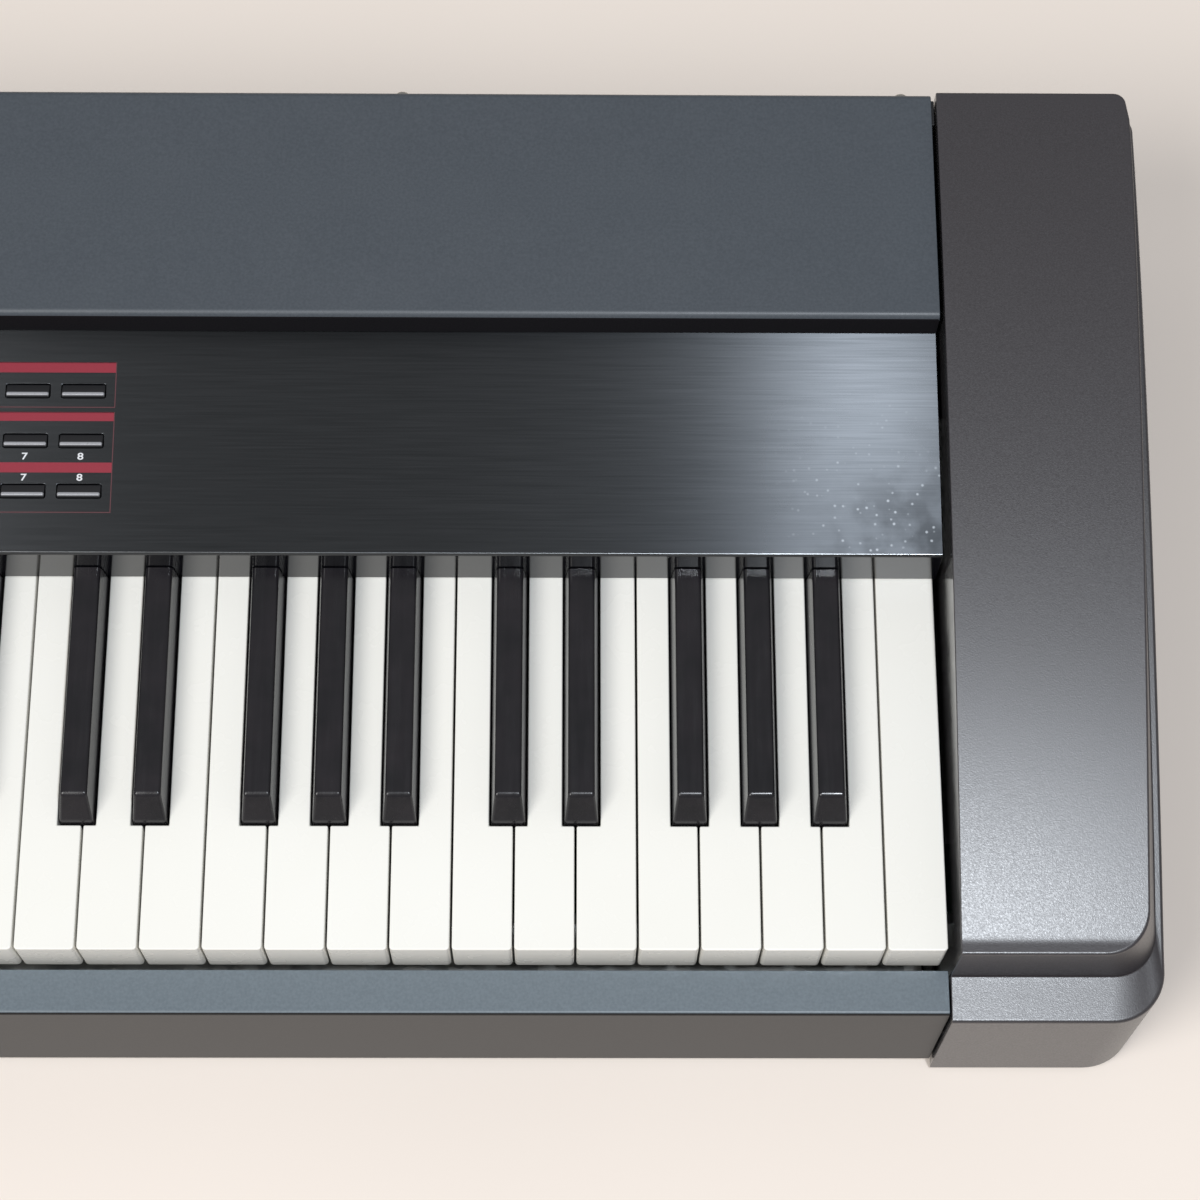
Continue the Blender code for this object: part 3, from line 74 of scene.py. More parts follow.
# %% Read the driving sizes
WHITE_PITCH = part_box("white_key_d7")[0].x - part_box("white_key_c7")[0].x
KEY_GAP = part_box("white_key_d7")[0].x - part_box("white_key_c7")[1].x
key_low, key_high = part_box("white_key_c8")
KEY_FRONT = key_low.y
KEY_TOP = key_high.z
KEY_BOTTOM = key_low.z
KEY_TAIL_END = key_high.y
HALF_KEYS = key_high.x + KEY_GAP / 2
panel_low, panel_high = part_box("control_panel")
cover_low, cover_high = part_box("rear_cover")
block_low, block_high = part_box("end_block_right")
tray_low, tray_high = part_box("base_tray")
print("white key pitch", round(WHITE_PITCH / MM, 2), "mm, half keyboard", round(HALF_KEYS / MM, 1))

# %% [markdown]
# Three small tools make most meshes. One covers a row of rings with quads, as planks cover the ribs
# of a boat. One draws a section out along the keyboard. One runs modifiers on a throw-away object:
# a narrow bevel catches the light on every edge, and weighted normals keep the flat faces flat.

# %% Mesh tools
EDGE_ANGLE = math.radians(31)
FLAT_ANGLE = math.radians(0.3)
WELD = 0.01 * MM


def keep(shape, name):
    """Turns a bmesh into a mesh whose faces point outwards."""
    bmesh.ops.recalc_face_normals(shape, faces=shape.faces)
    mesh = bpy.data.meshes.new(name)
    shape.to_mesh(mesh)
    shape.free()
    return mesh


def skin(shape, rings, hole=False):
    """Covers a row of closed rings with quads, then caps both ends, or joins them round a hole."""
    rows = [[shape.verts.new(point) for point in ring] for ring in rings]
    pairs = list(zip(rows, rows[1:]))
    if hole:
        pairs.append((rows[-1], rows[0]))
    for lower, upper in pairs:
        for here in range(len(lower)):
            shape.faces.new((lower[here - 1], lower[here], upper[here], upper[here - 1]))
    if not hole:
        shape.faces.new(rows[0])
        shape.faces.new(rows[-1])


def draw_out(shape, section, start, end):
    """Draws a (y, z) section out along X."""
    skin(shape, [[(x, y, z) for y, z in section] for x in (start, end)])


def add_bar(shape, low, high):
    """A straight bar between two corners."""
    section = [(low[1], low[2]), (high[1], low[2]), (high[1], high[2]), (low[1], high[2])]
    draw_out(shape, section, low[0], high[0])


def arc(centre, radius, first, last, steps):
    """Points on an arc, between two angles in degrees."""
    angles = [math.radians(first + (last - first) * step / steps) for step in range(steps + 1)]
    return [(centre[0] + radius * math.cos(a), centre[1] + radius * math.sin(a)) for a in angles]


def new_object(name, data):
    """A new object in the scene, at the origin."""
    thing = bpy.data.objects.new(name, data)
    bpy.context.scene.collection.objects.link(thing)
    return thing


def moved_copy(mesh, x, y=0.0, z=0.0):
    """A copy of a mesh, moved from the origin."""
    copy = mesh.copy()
    copy.transform(Matrix.Translation((x, y, z)))
    return copy


def evaluated(mesh, *add_modifiers):
    """Runs modifiers on a throw-away object and returns the mesh that they make."""
    holder = new_object("holder", mesh)
    for add in add_modifiers:
        add(holder)
    depsgraph = bpy.context.evaluated_depsgraph_get()
    made = bpy.data.meshes.new_from_object(
        holder.evaluated_get(depsgraph), preserve_all_data_layers=True, depsgraph=depsgraph
    )
    bpy.data.objects.remove(holder)
    return made


def rounded(mesh, width, segments=2):
    """Rounds the sharp edges of a mesh by a small width and shades it cleanly."""
    def add(holder):
        edges = holder.modifiers.new("rounded edges", "BEVEL")
        edges.width = width
        edges.segments = segments
        edges.limit_method = "ANGLE"
        edges.angle_limit = EDGE_ANGLE
        edges.use_clamp_overlap = False
        level = holder.modifiers.new("flat faces stay flat", "WEIGHTED_NORMAL")
        level.keep_sharp = True

    mesh.shade_smooth()
    return evaluated(mesh, add)


def merged_copy(node):
    """A CAD node's mesh with its loose triangles welded and its flat faces made whole."""
    shape = bmesh.new()
    shape.from_mesh(frame["nodes"][node].data)
    bmesh.ops.remove_doubles(shape, verts=shape.verts, dist=WELD)
    bmesh.ops.dissolve_limit(shape, angle_limit=FLAT_ANGLE, verts=shape.verts, edges=shape.edges)
    mesh = bpy.data.meshes.new(node)
    shape.to_mesh(mesh)
    shape.free()
    return mesh


def add_prism(shape, outline, low, high):
    """A flat (x, y) outline, drawn up from one height to another."""
    skin(shape, [[(x, y, z) for x, y in outline] for z in (low, high)])


def soft_rectangle(x, y, width, depth, corner, steps=4):
    """The outline of a rectangle with rounded corners."""
    points = []
    for side_x, side_y, first in ((1, 1, 0), (-1, 1, 90), (-1, -1, 180), (1, -1, 270)):
        centre = (x + side_x * (width / 2 - corner), y + side_y * (depth / 2 - corner))
        points += arc(centre, corner, first, first + 90, steps)
    return points


def turned(shape, profile, sides=48, hole=False):
    """A piece turned round the Z axis, from (radius, height) points."""
    turns = [math.tau * side / sides for side in range(sides)]
    rings = [[(r * math.cos(a), r * math.sin(a), z) for a in turns] for r, z in profile]
    skin(shape, rings, hole)


def sheet_section(path, thickness):
    """The closed section of a bent sheet, from the (y, z) path of its outer face."""
    inner = []
    for here, (y, z) in enumerate(path):
        before = Vector(path[max(here - 1, 0)])
        after = Vector(path[min(here + 1, len(path) - 1)])
        point = Vector((y, z))
        sides = [end - start for start, end in ((before, point), (point, after)) if end != start]
        normals = [Vector((side.y, -side.x)).normalized() for side in sides]
        middle = sum(normals, Vector((0, 0))).normalized()
        inner.append(tuple(point + middle * thickness / middle.dot(normals[0])))
    return list(path) + inner[::-1]


def place(mesh, where):
    """Moves a mesh by a matrix, and returns it."""
    mesh.transform(where)
    return mesh


def piece(name, mesh, finish, body, slot, *stands_for):
    """Makes a finished mesh a piece of the piano that rides on a body."""
    mesh.materials.clear()
    finishes = finish if isinstance(finish, list) else [finish]
    for one in finishes:
        mesh.materials.append(one)
    if len(finishes) == 1:
        mesh.polygons.foreach_set("material_index", [0] * len(mesh.polygons))
    thing = new_object(name, mesh)
    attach(thing, body)
    if stands_for:
        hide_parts(*stands_for)
    return thing


print("mesh tools ready")

# %% [markdown]
# A finish starts from one Principled shader and gains patterns: noise that is stretched along a
# direction makes brush lines, fine noise makes the spark texture of moulded plastic. All patterns
# read the object's own coordinates in metres, so they keep their real scale on every piece.

# %% Finish tools
def start_finish(name, colour, roughness, metallic=0.0):
    """A Principled material of one colour, ready for its patterns."""
    finish = bpy.data.materials.new(name)
    finish.use_nodes = True
    shader = finish.node_tree.nodes["Principled BSDF"]
    shader.inputs["Base Color"].default_value = (*colour, 1.0)
    shader.inputs["Roughness"].default_value = roughness
    shader.inputs["Metallic"].default_value = metallic
    finish.diffuse_color = (*colour, 1.0)
    return finish


def shader_of(finish):
    return finish.node_tree.nodes["Principled BSDF"]


def wire(finish, kind, inputs, **settings):
    """Adds a node. Its inputs are numbers, or sockets of other nodes, by the input's name."""
    made = finish.node_tree.nodes.new(kind)
    for key, value in settings.items():
        setattr(made, key, value)
    for key, value in inputs.items():
        if isinstance(value, bpy.types.NodeSocket):
            finish.node_tree.links.new(value, made.inputs[key])
        else:
            made.inputs[key].default_value = value
    return made


def own_place(finish):
    """The object's own coordinates, in metres."""
    return wire(finish, "ShaderNodeTexCoord", {}).outputs["Object"]


def noise(finish, scale, stretch=(1, 1, 1), detail=2.0):
    """A noise pattern from 0 to 1. A small number in stretch draws it out along that axis."""
    drawn = wire(finish, "ShaderNodeMapping", {"Vector": own_place(finish), "Scale": stretch})
    pattern = {"Vector": drawn.outputs["Vector"], "Scale": scale, "Detail": detail}
    return wire(finish, "ShaderNodeTexNoise", pattern).outputs["Fac"]


def spread(finish, pattern, low, high, middle=0.5, reach=0.2):
    """Maps the middle part of a pattern to the values between low and high."""
    inputs = {
        "Value": pattern, "From Min": middle - reach, "From Max": middle + reach,
        "To Min": low, "To Max": high,
    }
    return wire(finish, "ShaderNodeMapRange", inputs).outputs["Result"]


def tint(finish, pattern, first, second):
    """Colours the finish between two colours by a pattern. The first may be an earlier tint."""
    start = first if isinstance(first, bpy.types.NodeSocket) else (*first, 1.0)
    inputs = {"Factor": pattern, 6: start, 7: (*second, 1.0)}
    mix = wire(finish, "ShaderNodeMix", inputs, data_type="RGBA")
    finish.node_tree.links.new(mix.outputs[2], shader_of(finish).inputs["Base Color"])
    return mix.outputs[2]


def times(finish, first, second):
    """Two patterns multiplied: each shows only where the other one is."""
    product = wire(finish, "ShaderNodeMath", {0: first, 1: second}, operation="MULTIPLY")
    return product.outputs["Value"]


def mottle(finish, scale, first, second, detail=2.0):
    """Colours the finish unevenly between two colours."""
    tint(finish, spread(finish, noise(finish, scale, detail=detail), 0.0, 1.0), first, second)


def polish(finish, value):
    """Lets a pattern drive the roughness."""
    finish.node_tree.links.new(value, shader_of(finish).inputs["Roughness"])


def wear(finish, scale, low, high, stretch=(1, 1, 1), detail=2.0):
    """Varies the roughness unevenly between two values."""
    polish(finish, spread(finish, noise(finish, scale, stretch, detail), low, high))


def set_shader(finish, **values):
    """Sets plain numbers of the shader, by the names of its sockets."""
    for key, value in values.items():
        shader_of(finish).inputs[key.replace("_", " ")].default_value = value


def emboss(finish, pattern, height, under=None):
    """Raises the surface by a pattern, on top of another bump if one is given."""
    inputs = {"Height": pattern, "Distance": height, "Strength": 1.0}
    if under is not None:
        inputs["Normal"] = under
    bump = wire(finish, "ShaderNodeBump", inputs)
    finish.node_tree.links.new(bump.outputs["Normal"], shader_of(finish).inputs["Normal"])
    return bump.outputs["Normal"]


print("finish tools ready")

# %% [markdown]
# The rear cover wears a blue-grey satin paint with the faint orange peel of a sprayed coat. Its front
# lip is coloured nearly black as painted shade. The key slip's top is the same paint, coloured paler as
# painted sheen, and its front faces are coloured nearly black. The end blocks are moulded plastic
# whose mould was spark-eroded, so they sparkle where a lamp is mirrored in them. Paint gets a
# shallow bump, the moulding a finer and deeper one.

# %% Paint and mouldings
ORANGE_PEEL = 0.02 * MM
SPARK_DEPTH = 0.035 * MM

PAINT = start_finish("blue_grey_paint", (0.062, 0.072, 0.086), 0.42)
mottle(PAINT, 900.0, (0.056, 0.066, 0.079), (0.069, 0.080, 0.095))
wear(PAINT, 45.0, 0.38, 0.46, detail=4.0)
emboss(PAINT, noise(PAINT, 1500.0), ORANGE_PEEL)

MOULDING = start_finish("spark_textured_moulding", (0.02, 0.018, 0.02), 0.4)
grain = noise(MOULDING, 2100.0)
tint(MOULDING, spread(MOULDING, grain, 0.0, 1.0), (0.0145, 0.012, 0.0155), (0.029, 0.025, 0.031))
wear(MOULDING, 1300.0, 0.31, 0.40)
emboss(MOULDING, grain, SPARK_DEPTH)
set_shader(MOULDING, Specular_IOR_Level=1.0, IOR=1.6)

# Painted sheen: the slip's top is the cover's paint, coloured paler for the sheen it shows under the
# lamp.
SLIP_PAINT = start_finish("blue_grey_paint_with_painted_sheen", (0.135, 0.165, 0.19), 0.36)
mottle(SLIP_PAINT, 900.0, (0.118, 0.145, 0.168), (0.142, 0.174, 0.20))
emboss(SLIP_PAINT, noise(SLIP_PAINT, 1500.0), ORANGE_PEEL)

SLIP_FACE = start_finish("dark_slip_face", (0.018, 0.018, 0.019), 0.4)
mottle(SLIP_FACE, 900.0, (0.012, 0.012, 0.013), (0.018, 0.018, 0.019))
emboss(SLIP_FACE, noise(SLIP_FACE, 1500.0), ORANGE_PEEL)
set_shader(SLIP_FACE, Specular_IOR_Level=0.3)

# Painted shade: the cover's front lip is part of the blue-grey sheet, coloured nearly black for the shade
# it stands in.
LIP_SHADE = start_finish("lip_painted_shade", (0.006, 0.005, 0.007), 0.7)
wear(LIP_SHADE, 1500.0, 0.62, 0.78)
set_shader(LIP_SHADE, Specular_IOR_Level=0.2)

SMOOTH_MOULDING = start_finish("smooth_moulding", (0.028, 0.027, 0.029), 0.16)
wear(SMOOTH_MOULDING, 80.0, 0.12, 0.2, detail=4.0)
print("finishes:", PAINT.name, SLIP_PAINT.name, MOULDING.name, SMOOTH_MOULDING.name)

# %% [markdown]
# The control panel is dark anodised metal, brushed along the keyboard. The brush lines are noise
# stretched a few hundred times along X. They also turn the shine: an anisotropic shader spreads a
# reflection across the lines, which gives the soft bright fan over the panel's right end. Towards the
# front of the right end the metal is coloured darker, as painted shade that dims that fan. Dust left a
# cloudy bloom and small pale specks there.

# %% Metals of the panel
SHADE_X = 520 * MM
DUST_X = 570 * MM
FRONT_BAND_Y = 30 * MM

BRUSHED = start_finish("brushed_panel_metal", (0.075, 0.079, 0.086), 0.3, 1.0)
lines = noise(BRUSHED, 1.0, (28.0, 1500.0, 1500.0), detail=3.0)
line_tone = spread(BRUSHED, lines, 0.0, 1.0, reach=0.25)
brushing = tint(BRUSHED, line_tone, (0.080, 0.086, 0.093), (0.112, 0.119, 0.129))
spot = own_place(BRUSHED)
axes = wire(BRUSHED, "ShaderNodeSeparateXYZ", {"Vector": spot})
toward_front = spread(BRUSHED, axes.outputs["Y"], 1.0, 0.0, middle=FRONT_BAND_Y, reach=0.03)
shade_share = spread(BRUSHED, axes.outputs["X"], 0.0, 0.8, middle=SHADE_X, reach=0.06)
# Painted shade: towards the front of the right end the base colour is darker, which dims the highlight
# there.
shaded_brushing = tint(BRUSHED, times(BRUSHED, shade_share, toward_front), brushing, (0.040, 0.043, 0.047))
clouds = spread(BRUSHED, noise(BRUSHED, 60.0, detail=6.0), 0.0, 1.0, middle=0.47, reach=0.12)
near_end = spread(BRUSHED, axes.outputs["X"], 0.0, 1.0, middle=DUST_X, reach=0.03)
dusty = times(BRUSHED, times(BRUSHED, near_end, toward_front), clouds)
speck_cells = wire(BRUSHED, "ShaderNodeTexVoronoi", {"Scale": 290.0, "Vector": spot})
speck_dots = spread(BRUSHED, speck_cells.outputs["Distance"], 1.0, 0.0, middle=0.14, reach=0.07)
tint(BRUSHED, times(BRUSHED, speck_dots, dusty), shaded_brushing, (0.23, 0.24, 0.25))
worn = wire(BRUSHED, "ShaderNodeMath", {0: dusty, 1: 0.19, 2: 0.27}, operation="MULTIPLY_ADD")
polish(BRUSHED, worn.outputs["Value"])
along = wire(BRUSHED, "ShaderNodeTangent", {}, direction_type="UV_MAP", uv_map="brush_lines")
BRUSHED.node_tree.links.new(along.outputs["Tangent"], shader_of(BRUSHED).inputs["Tangent"])
set_shader(BRUSHED, Anisotropic=1.0, Anisotropic_Rotation=0.25)

PANEL_FACE = start_finish("glossy_panel_face", (0.006, 0.006, 0.008), 0.1)
wear(PANEL_FACE, 120.0, 0.06, 0.12, detail=3.0)

BRIGHT_EDGE = start_finish("bright_cut_edge", (0.14, 0.145, 0.15), 0.28, 1.0)
wear(BRIGHT_EDGE, 1.0, 0.22, 0.34, (30.0, 3000.0, 3000.0))
print("finishes:", BRUSHED.name, PANEL_FACE.name, BRIGHT_EDGE.name)

# %% [markdown]
# White keys are cast ivory-coloured plastic, and black keys black plastic that was polished. Under
# a lamp both are only nearly even: a white key is a little warmer in its depth, a black one shows
# the finest play marks. Printing inks, rubber, plated and painted steel complete the list.

# %% Keys, inks and the rest
IVORY = start_finish("ivory_plastic", (0.875, 0.86, 0.81), 0.27)
mottle(IVORY, 18.0, (0.868, 0.852, 0.80), (0.882, 0.868, 0.82))
wear(IVORY, 90.0, 0.26, 0.28)

EBONY = start_finish("polished_black_plastic", (0.011, 0.010, 0.012), 0.25)
mottle(EBONY, 60.0, (0.008, 0.008, 0.010), (0.015, 0.013, 0.016), detail=3.0)
wear(EBONY, 500.0, 0.2, 0.3, (1, 0.08, 1), detail=4.0)

CAP = start_finish("button_plastic", (0.014, 0.014, 0.016), 0.45)
wear(CAP, 1800.0, 0.4, 0.5)
emboss(CAP, noise(CAP, 2200.0), 0.01 * MM)

RIDGE = start_finish("button_ridge", (0.38, 0.385, 0.41), 0.3, 0.3)
wear(RIDGE, 900.0, 0.26, 0.36)


def ink(name, colour):
    """Screen-printed ink: even colour, with the slight grain of the mesh that printed it."""
    made = start_finish(name, colour, 0.5)
    mottle(made, 2600.0, tuple(0.86 * part for part in colour), colour)
    wear(made, 2600.0, 0.45, 0.55)
    return made


RED_INK = ink("red_ink", (0.29, 0.020, 0.040))
DULL_RED_INK = ink("dull_red_ink", (0.12, 0.035, 0.042))
WHITE_INK = ink("white_ink", (0.78, 0.79, 0.82))

BLACK_STEEL = start_finish("black_stoved_steel", (0.022, 0.022, 0.024), 0.5)
mottle(BLACK_STEEL, 700.0, (0.017, 0.017, 0.019), (0.028, 0.028, 0.030))
wear(BLACK_STEEL, 30.0, 0.45, 0.56, detail=4.0)
emboss(BLACK_STEEL, noise(BLACK_STEEL, 1100.0), 0.03 * MM)

ZINC = start_finish("zinc_plated_steel", (0.55, 0.55, 0.53), 0.36, 1.0)
flakes = wire(ZINC, "ShaderNodeTexVoronoi", {"Scale": 140.0, "Vector": own_place(ZINC)})
flake_tone = wire(ZINC, "ShaderNodeSeparateColor", {"Color": flakes.outputs["Color"]}).outputs["Red"]
tint(ZINC, flake_tone, (0.44, 0.45, 0.44), (0.62, 0.62, 0.59))
polish(ZINC, spread(ZINC, flake_tone, 0.3, 0.44, reach=0.5))

NICKEL = start_finish("nickel", (0.66, 0.64, 0.60), 0.2, 1.0)
wear(NICKEL, 700.0, 0.16, 0.3)

BOARD = start_finish("green_circuit_board", (0.02, 0.11, 0.05), 0.4)
tracks = wire(
    BOARD, "ShaderNodeTexBrick", {"Scale": 160.0, "Mortar Size": 0.06, "Vector": own_place(BOARD)}
)
tint(BOARD, tracks.outputs["Fac"], (0.014, 0.085, 0.038), (0.030, 0.150, 0.070))
polish(BOARD, spread(BOARD, tracks.outputs["Fac"], 0.3, 0.45, reach=0.5))

SOCKET = start_finish("socket_plastic", (0.014, 0.014, 0.015), 0.4)
wear(SOCKET, 900.0, 0.34, 0.46)
emboss(SOCKET, noise(SOCKET, 1500.0), 0.015 * MM)

RUBBER = start_finish("foot_rubber", (0.018, 0.018, 0.018), 0.8)
mottle(RUBBER, 1200.0, (0.013, 0.013, 0.013), (0.026, 0.025, 0.025))
emboss(RUBBER, noise(RUBBER, 900.0, detail=4.0), 0.05 * MM)

WINDOW = start_finish("display_window", (0.02, 0.024, 0.024), 0.06)
set_shader(WINDOW, Alpha=0.5)
wear(WINDOW, 200.0, 0.04, 0.09)

LCD = start_finish("display_cells", (0.10, 0.13, 0.07), 0.35)
cells = wire(
    LCD, "ShaderNodeTexBrick", {"Scale": 1100.0, "Mortar Size": 0.12, "Vector": own_place(LCD)}
)
tint(LCD, cells.outputs["Fac"], (0.075, 0.10, 0.055), (0.13, 0.17, 0.09))
print("finishes:", len(bpy.data.materials))

# %% [markdown]
# Much on a keyboard repeats at an even step: octaves of keys, columns of buttons, scale marks, rows
# of sockets. A small Geometry Nodes tree lays copies of a mesh along a line. Its inputs are the
# count, the step and the finish, so one tree serves all of them. Copying by hand would hide the
# even step.

# %% A tree that repeats a mesh along a line
def new_tree(name, sockets):
    """An empty Geometry Nodes tree with named inputs. Returns it with its two end nodes."""
    tree = bpy.data.node_groups.new(name, "GeometryNodeTree")
    tree.interface.new_socket("Geometry", in_out="INPUT", socket_type="NodeSocketGeometry")
    for socket, kind in sockets.items():
        tree.interface.new_socket(socket, in_out="INPUT", socket_type=kind)
    tree.interface.new_socket("Geometry", in_out="OUTPUT", socket_type="NodeSocketGeometry")
    return tree, tree.nodes.new("NodeGroupInput"), tree.nodes.new("NodeGroupOutput")


def tree_node(tree, kind, inputs, **settings):
    """Adds a node to a tree, with numbers or sockets for its inputs."""
    made = tree.nodes.new(kind)
    for key, value in settings.items():
        setattr(made, key, value)
    for key, value in inputs.items():
        if isinstance(value, bpy.types.NodeSocket):
            tree.links.new(value, made.inputs[key])
        else:
            made.inputs[key].default_value = value
    return made


def grow(mesh, tree, **values):
    """Runs a tree on a mesh. Each value is set by the identifier of the input that it names."""
    sockets = [item for item in tree.interface.items_tree if item.in_out == "INPUT"]
    identifiers = {socket.name: socket.identifier for socket in sockets}

    def add(holder):
        growth = holder.modifiers.new(tree.name, "NODES")
        growth.node_group = tree
        for key, value in values.items():
            growth[identifiers[key.replace("_", " ")]] = value

    return evaluated(mesh, add)


ROW, row_in, row_out = new_tree("row of copies", {
    "Count": "NodeSocketInt", "Step": "NodeSocketVector", "Finish": "NodeSocketMaterial",
})
line = tree_node(
    ROW, "GeometryNodeMeshLine",
    {"Count": row_in.outputs["Count"], "Offset": row_in.outputs["Step"]},
)
copies = tree_node(
    ROW, "GeometryNodeInstanceOnPoints",
    {"Points": line.outputs["Mesh"], "Instance": row_in.outputs["Geometry"]},
)
real = tree_node(ROW, "GeometryNodeRealizeInstances", {"Geometry": copies.outputs["Instances"]})
painted = tree_node(
    ROW, "GeometryNodeSetMaterial",
    {"Geometry": real.outputs["Geometry"], "Material": row_in.outputs["Finish"]},
)
ROW.links.new(painted.outputs["Geometry"], row_out.inputs["Geometry"])
print("tree:", ROW.name)

# %% [markdown]
# Each white key is drawn from above: wide in front, and cut back beside its black neighbours. Seven
# outlines are needed, one for a letter, and two more for the ends of the keyboard. The front corners
# are rounded more than the top edge, as fingers slide over them. The thin tail behind runs over the
# fulcrum, out of sight.

# %% White keys
WHITE_UNDER_FACE = 4 * MM
WHITE_CORNER = 1.5 * MM
WHITE_EDGE = 0.6 * MM
BLACK_FRONT = 49.2 * MM
BLACK_WIDTH = 13.2 * MM
CUTOUT_CLEARANCE = 0.75 * MM
TAIL_DEPTH = 16 * MM
TAIL_THICKNESS = 10 * MM
REAR_THICKNESS = 5 * MM
THIN_TAIL = 23 * MM
TOP_OCTAVES = (6, 7)
BLACK_SHIFT = {"cs": -2.2 * MM, "ds": 2.2 * MM, "fs": -3.35 * MM, "gs": 0.0, "as": 3.3 * MM}
BLACK_NEIGHBOURS = {
    "c": (None, "cs"), "d": ("cs", "ds"), "e": ("ds", None), "f": (None, "fs"),
    "g": ("fs", "gs"), "a": ("gs", "as"), "b": ("as", None),
}
KEY_BACK = panel_low.y + WHITE_UNDER_FACE
TAIL_LOW = KEY_TOP - TAIL_DEPTH
OCTAVE = 7 * WHITE_PITCH


def white_key(before, after):
    """A white key between two black ones, or with None where a side has no black neighbour."""
    left = KEY_GAP / 2
    right = WHITE_PITCH - left
    shoulder = KEY_FRONT + BLACK_FRONT - CUTOUT_CLEARANCE
    cut = BLACK_WIDTH / 2 + CUTOUT_CLEARANCE
    corner_y = KEY_FRONT + WHITE_CORNER
    outline = arc((left + WHITE_CORNER, corner_y), WHITE_CORNER, 180, 270, 4)
    outline += arc((right - WHITE_CORNER, corner_y), WHITE_CORNER, 270, 360, 4)
    tail_left, tail_right = left, right
    if after:
        tail_right = WHITE_PITCH + BLACK_SHIFT[after] - cut
        outline += [(right, shoulder), (tail_right, shoulder)]
    outline.append((tail_right, KEY_BACK))
    if before:
        tail_left = BLACK_SHIFT[before] + cut
        outline += [(tail_left, KEY_BACK), (tail_left, shoulder), (left, shoulder)]
    else:
        outline.append((tail_left, KEY_BACK))
    shape = bmesh.new()
    add_prism(shape, outline, KEY_BOTTOM, KEY_TOP)
    tail_start, step_y = KEY_BACK - WHITE_CORNER, KEY_TAIL_END - THIN_TAIL
    tail = [
        (tail_start, TAIL_LOW), (KEY_TAIL_END, TAIL_LOW), (KEY_TAIL_END, TAIL_LOW + REAR_THICKNESS),
        (step_y, TAIL_LOW + REAR_THICKNESS), (step_y, TAIL_LOW + TAIL_THICKNESS),
        (tail_start, TAIL_LOW + TAIL_THICKNESS),
    ]
    draw_out(shape, tail, tail_left, tail_right)
    return rounded(keep(shape, "white_key"), WHITE_EDGE, 3)


white_shapes = {letter: white_key(*pair) for letter, pair in BLACK_NEIGHBOURS.items()}
white_shapes["lowest a"] = white_key(None, "as")
white_shapes["highest c"] = white_key(None, None)
for octave in TOP_OCTAVES:
    for letter in "cdefgab":
        node = f"white_key_{letter}{octave}"
        key = moved_copy(white_shapes[letter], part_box(node)[0].x - KEY_GAP / 2)
        piece(f"dressed_{node}", key, IVORY, node, "white_key_plastic", node)
key = moved_copy(white_shapes["highest c"], key_low.x - KEY_GAP / 2)
piece("dressed_white_key_c8", key, IVORY, "white_key_c8", "white_key_plastic", "white_key_c8")
print("white key shapes:", len(white_shapes), "and faces in one:", len(white_shapes["d"].polygons))

# %% [markdown]
# A black key narrows towards its top, and its nose slopes. Four rings give that shape, and a wide
# rounding gives the long highlight along its ridge. Its back stays square, because it stands close
# before the panel's glossy face, which mirrors it.

# %% Black keys
BLACK_TOP_WIDTH = 10.1 * MM
BLACK_RISE = 12 * MM
BLACK_FOOT = 1.3 * MM
BLACK_SLOPE_RUN = 8 * MM
BLACK_EDGE = 1.35 * MM
BLACK_RIM = 0.1 * MM
BLACK_BEFORE_FACE = 0.4 * MM
BLACK_TAIL_THICKNESS = 11 * MM
BLACK_TAIL_END = 5.5 * MM


def middle_x(node):
    low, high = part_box(node)
    return (low.x + high.x) / 2


def black_key():
    """A black key with its middle at x = 0."""
    front = KEY_FRONT + BLACK_FRONT
    back = panel_low.y - BLACK_BEFORE_FACE
    half = BLACK_WIDTH / 2
    half_top = BLACK_TOP_WIDTH / 2
    half_foot = half + (half_top - half) * BLACK_FOOT / BLACK_RISE
    levels = [
        (half, front, TAIL_LOW), (half, front, KEY_TOP),
        (half_foot, front, KEY_TOP + BLACK_FOOT),
        (half_top, front + BLACK_SLOPE_RUN, KEY_TOP + BLACK_RISE),
    ]
    shape = bmesh.new()
    skin(shape, [[(-w, y, z), (w, y, z), (w, back, z), (-w, back, z)] for w, y, z in levels])
    tail_high = (half, KEY_TAIL_END - BLACK_TAIL_END, TAIL_LOW + BLACK_TAIL_THICKNESS)
    add_bar(shape, (-half, back - BLACK_EDGE, TAIL_LOW), tail_high)
    bmesh.ops.recalc_face_normals(shape, faces=shape.faces)
    sharp = [edge for edge in shape.edges if edge.calc_face_angle(0.0) > EDGE_ANGLE]
    wide = [edge for edge in sharp if any(abs(vert.co.y - back) > WELD for vert in edge.verts)]
    bmesh.ops.bevel(
        shape, geom=wide, offset=BLACK_EDGE, segments=4, profile=0.5, affect="EDGES",
        loop_slide=True,
    )
    return rounded(keep(shape, "black_key"), BLACK_RIM)


black_shape = black_key()
for octave in TOP_OCTAVES:
    for letter in BLACK_SHIFT:
        node = f"black_key_{letter}{octave}"
        key = moved_copy(black_shape, middle_x(node))
        piece(f"dressed_{node}", key, EBONY, node, "black_key_plastic", node)
print("black keys in the top octaves:", len(TOP_OCTAVES) * len(BLACK_SHIFT))

# %% [markdown]
# The sixty-three keys below them move as two combs, one white and one black. The tree repeats each
# letter from octave to octave, and a bar across the tails joins the copies.

# %% The two combs
COMB_BAR = 4 * MM
COMB_INSET = 0.5 * MM


def joined(name, meshes):
    """One mesh from several."""
    shape = bmesh.new()
    for mesh in meshes:
        shape.from_mesh(mesh)
    made = bpy.data.meshes.new(name)
    shape.to_mesh(made)
    shape.free()
    made.shade_smooth()
    return made


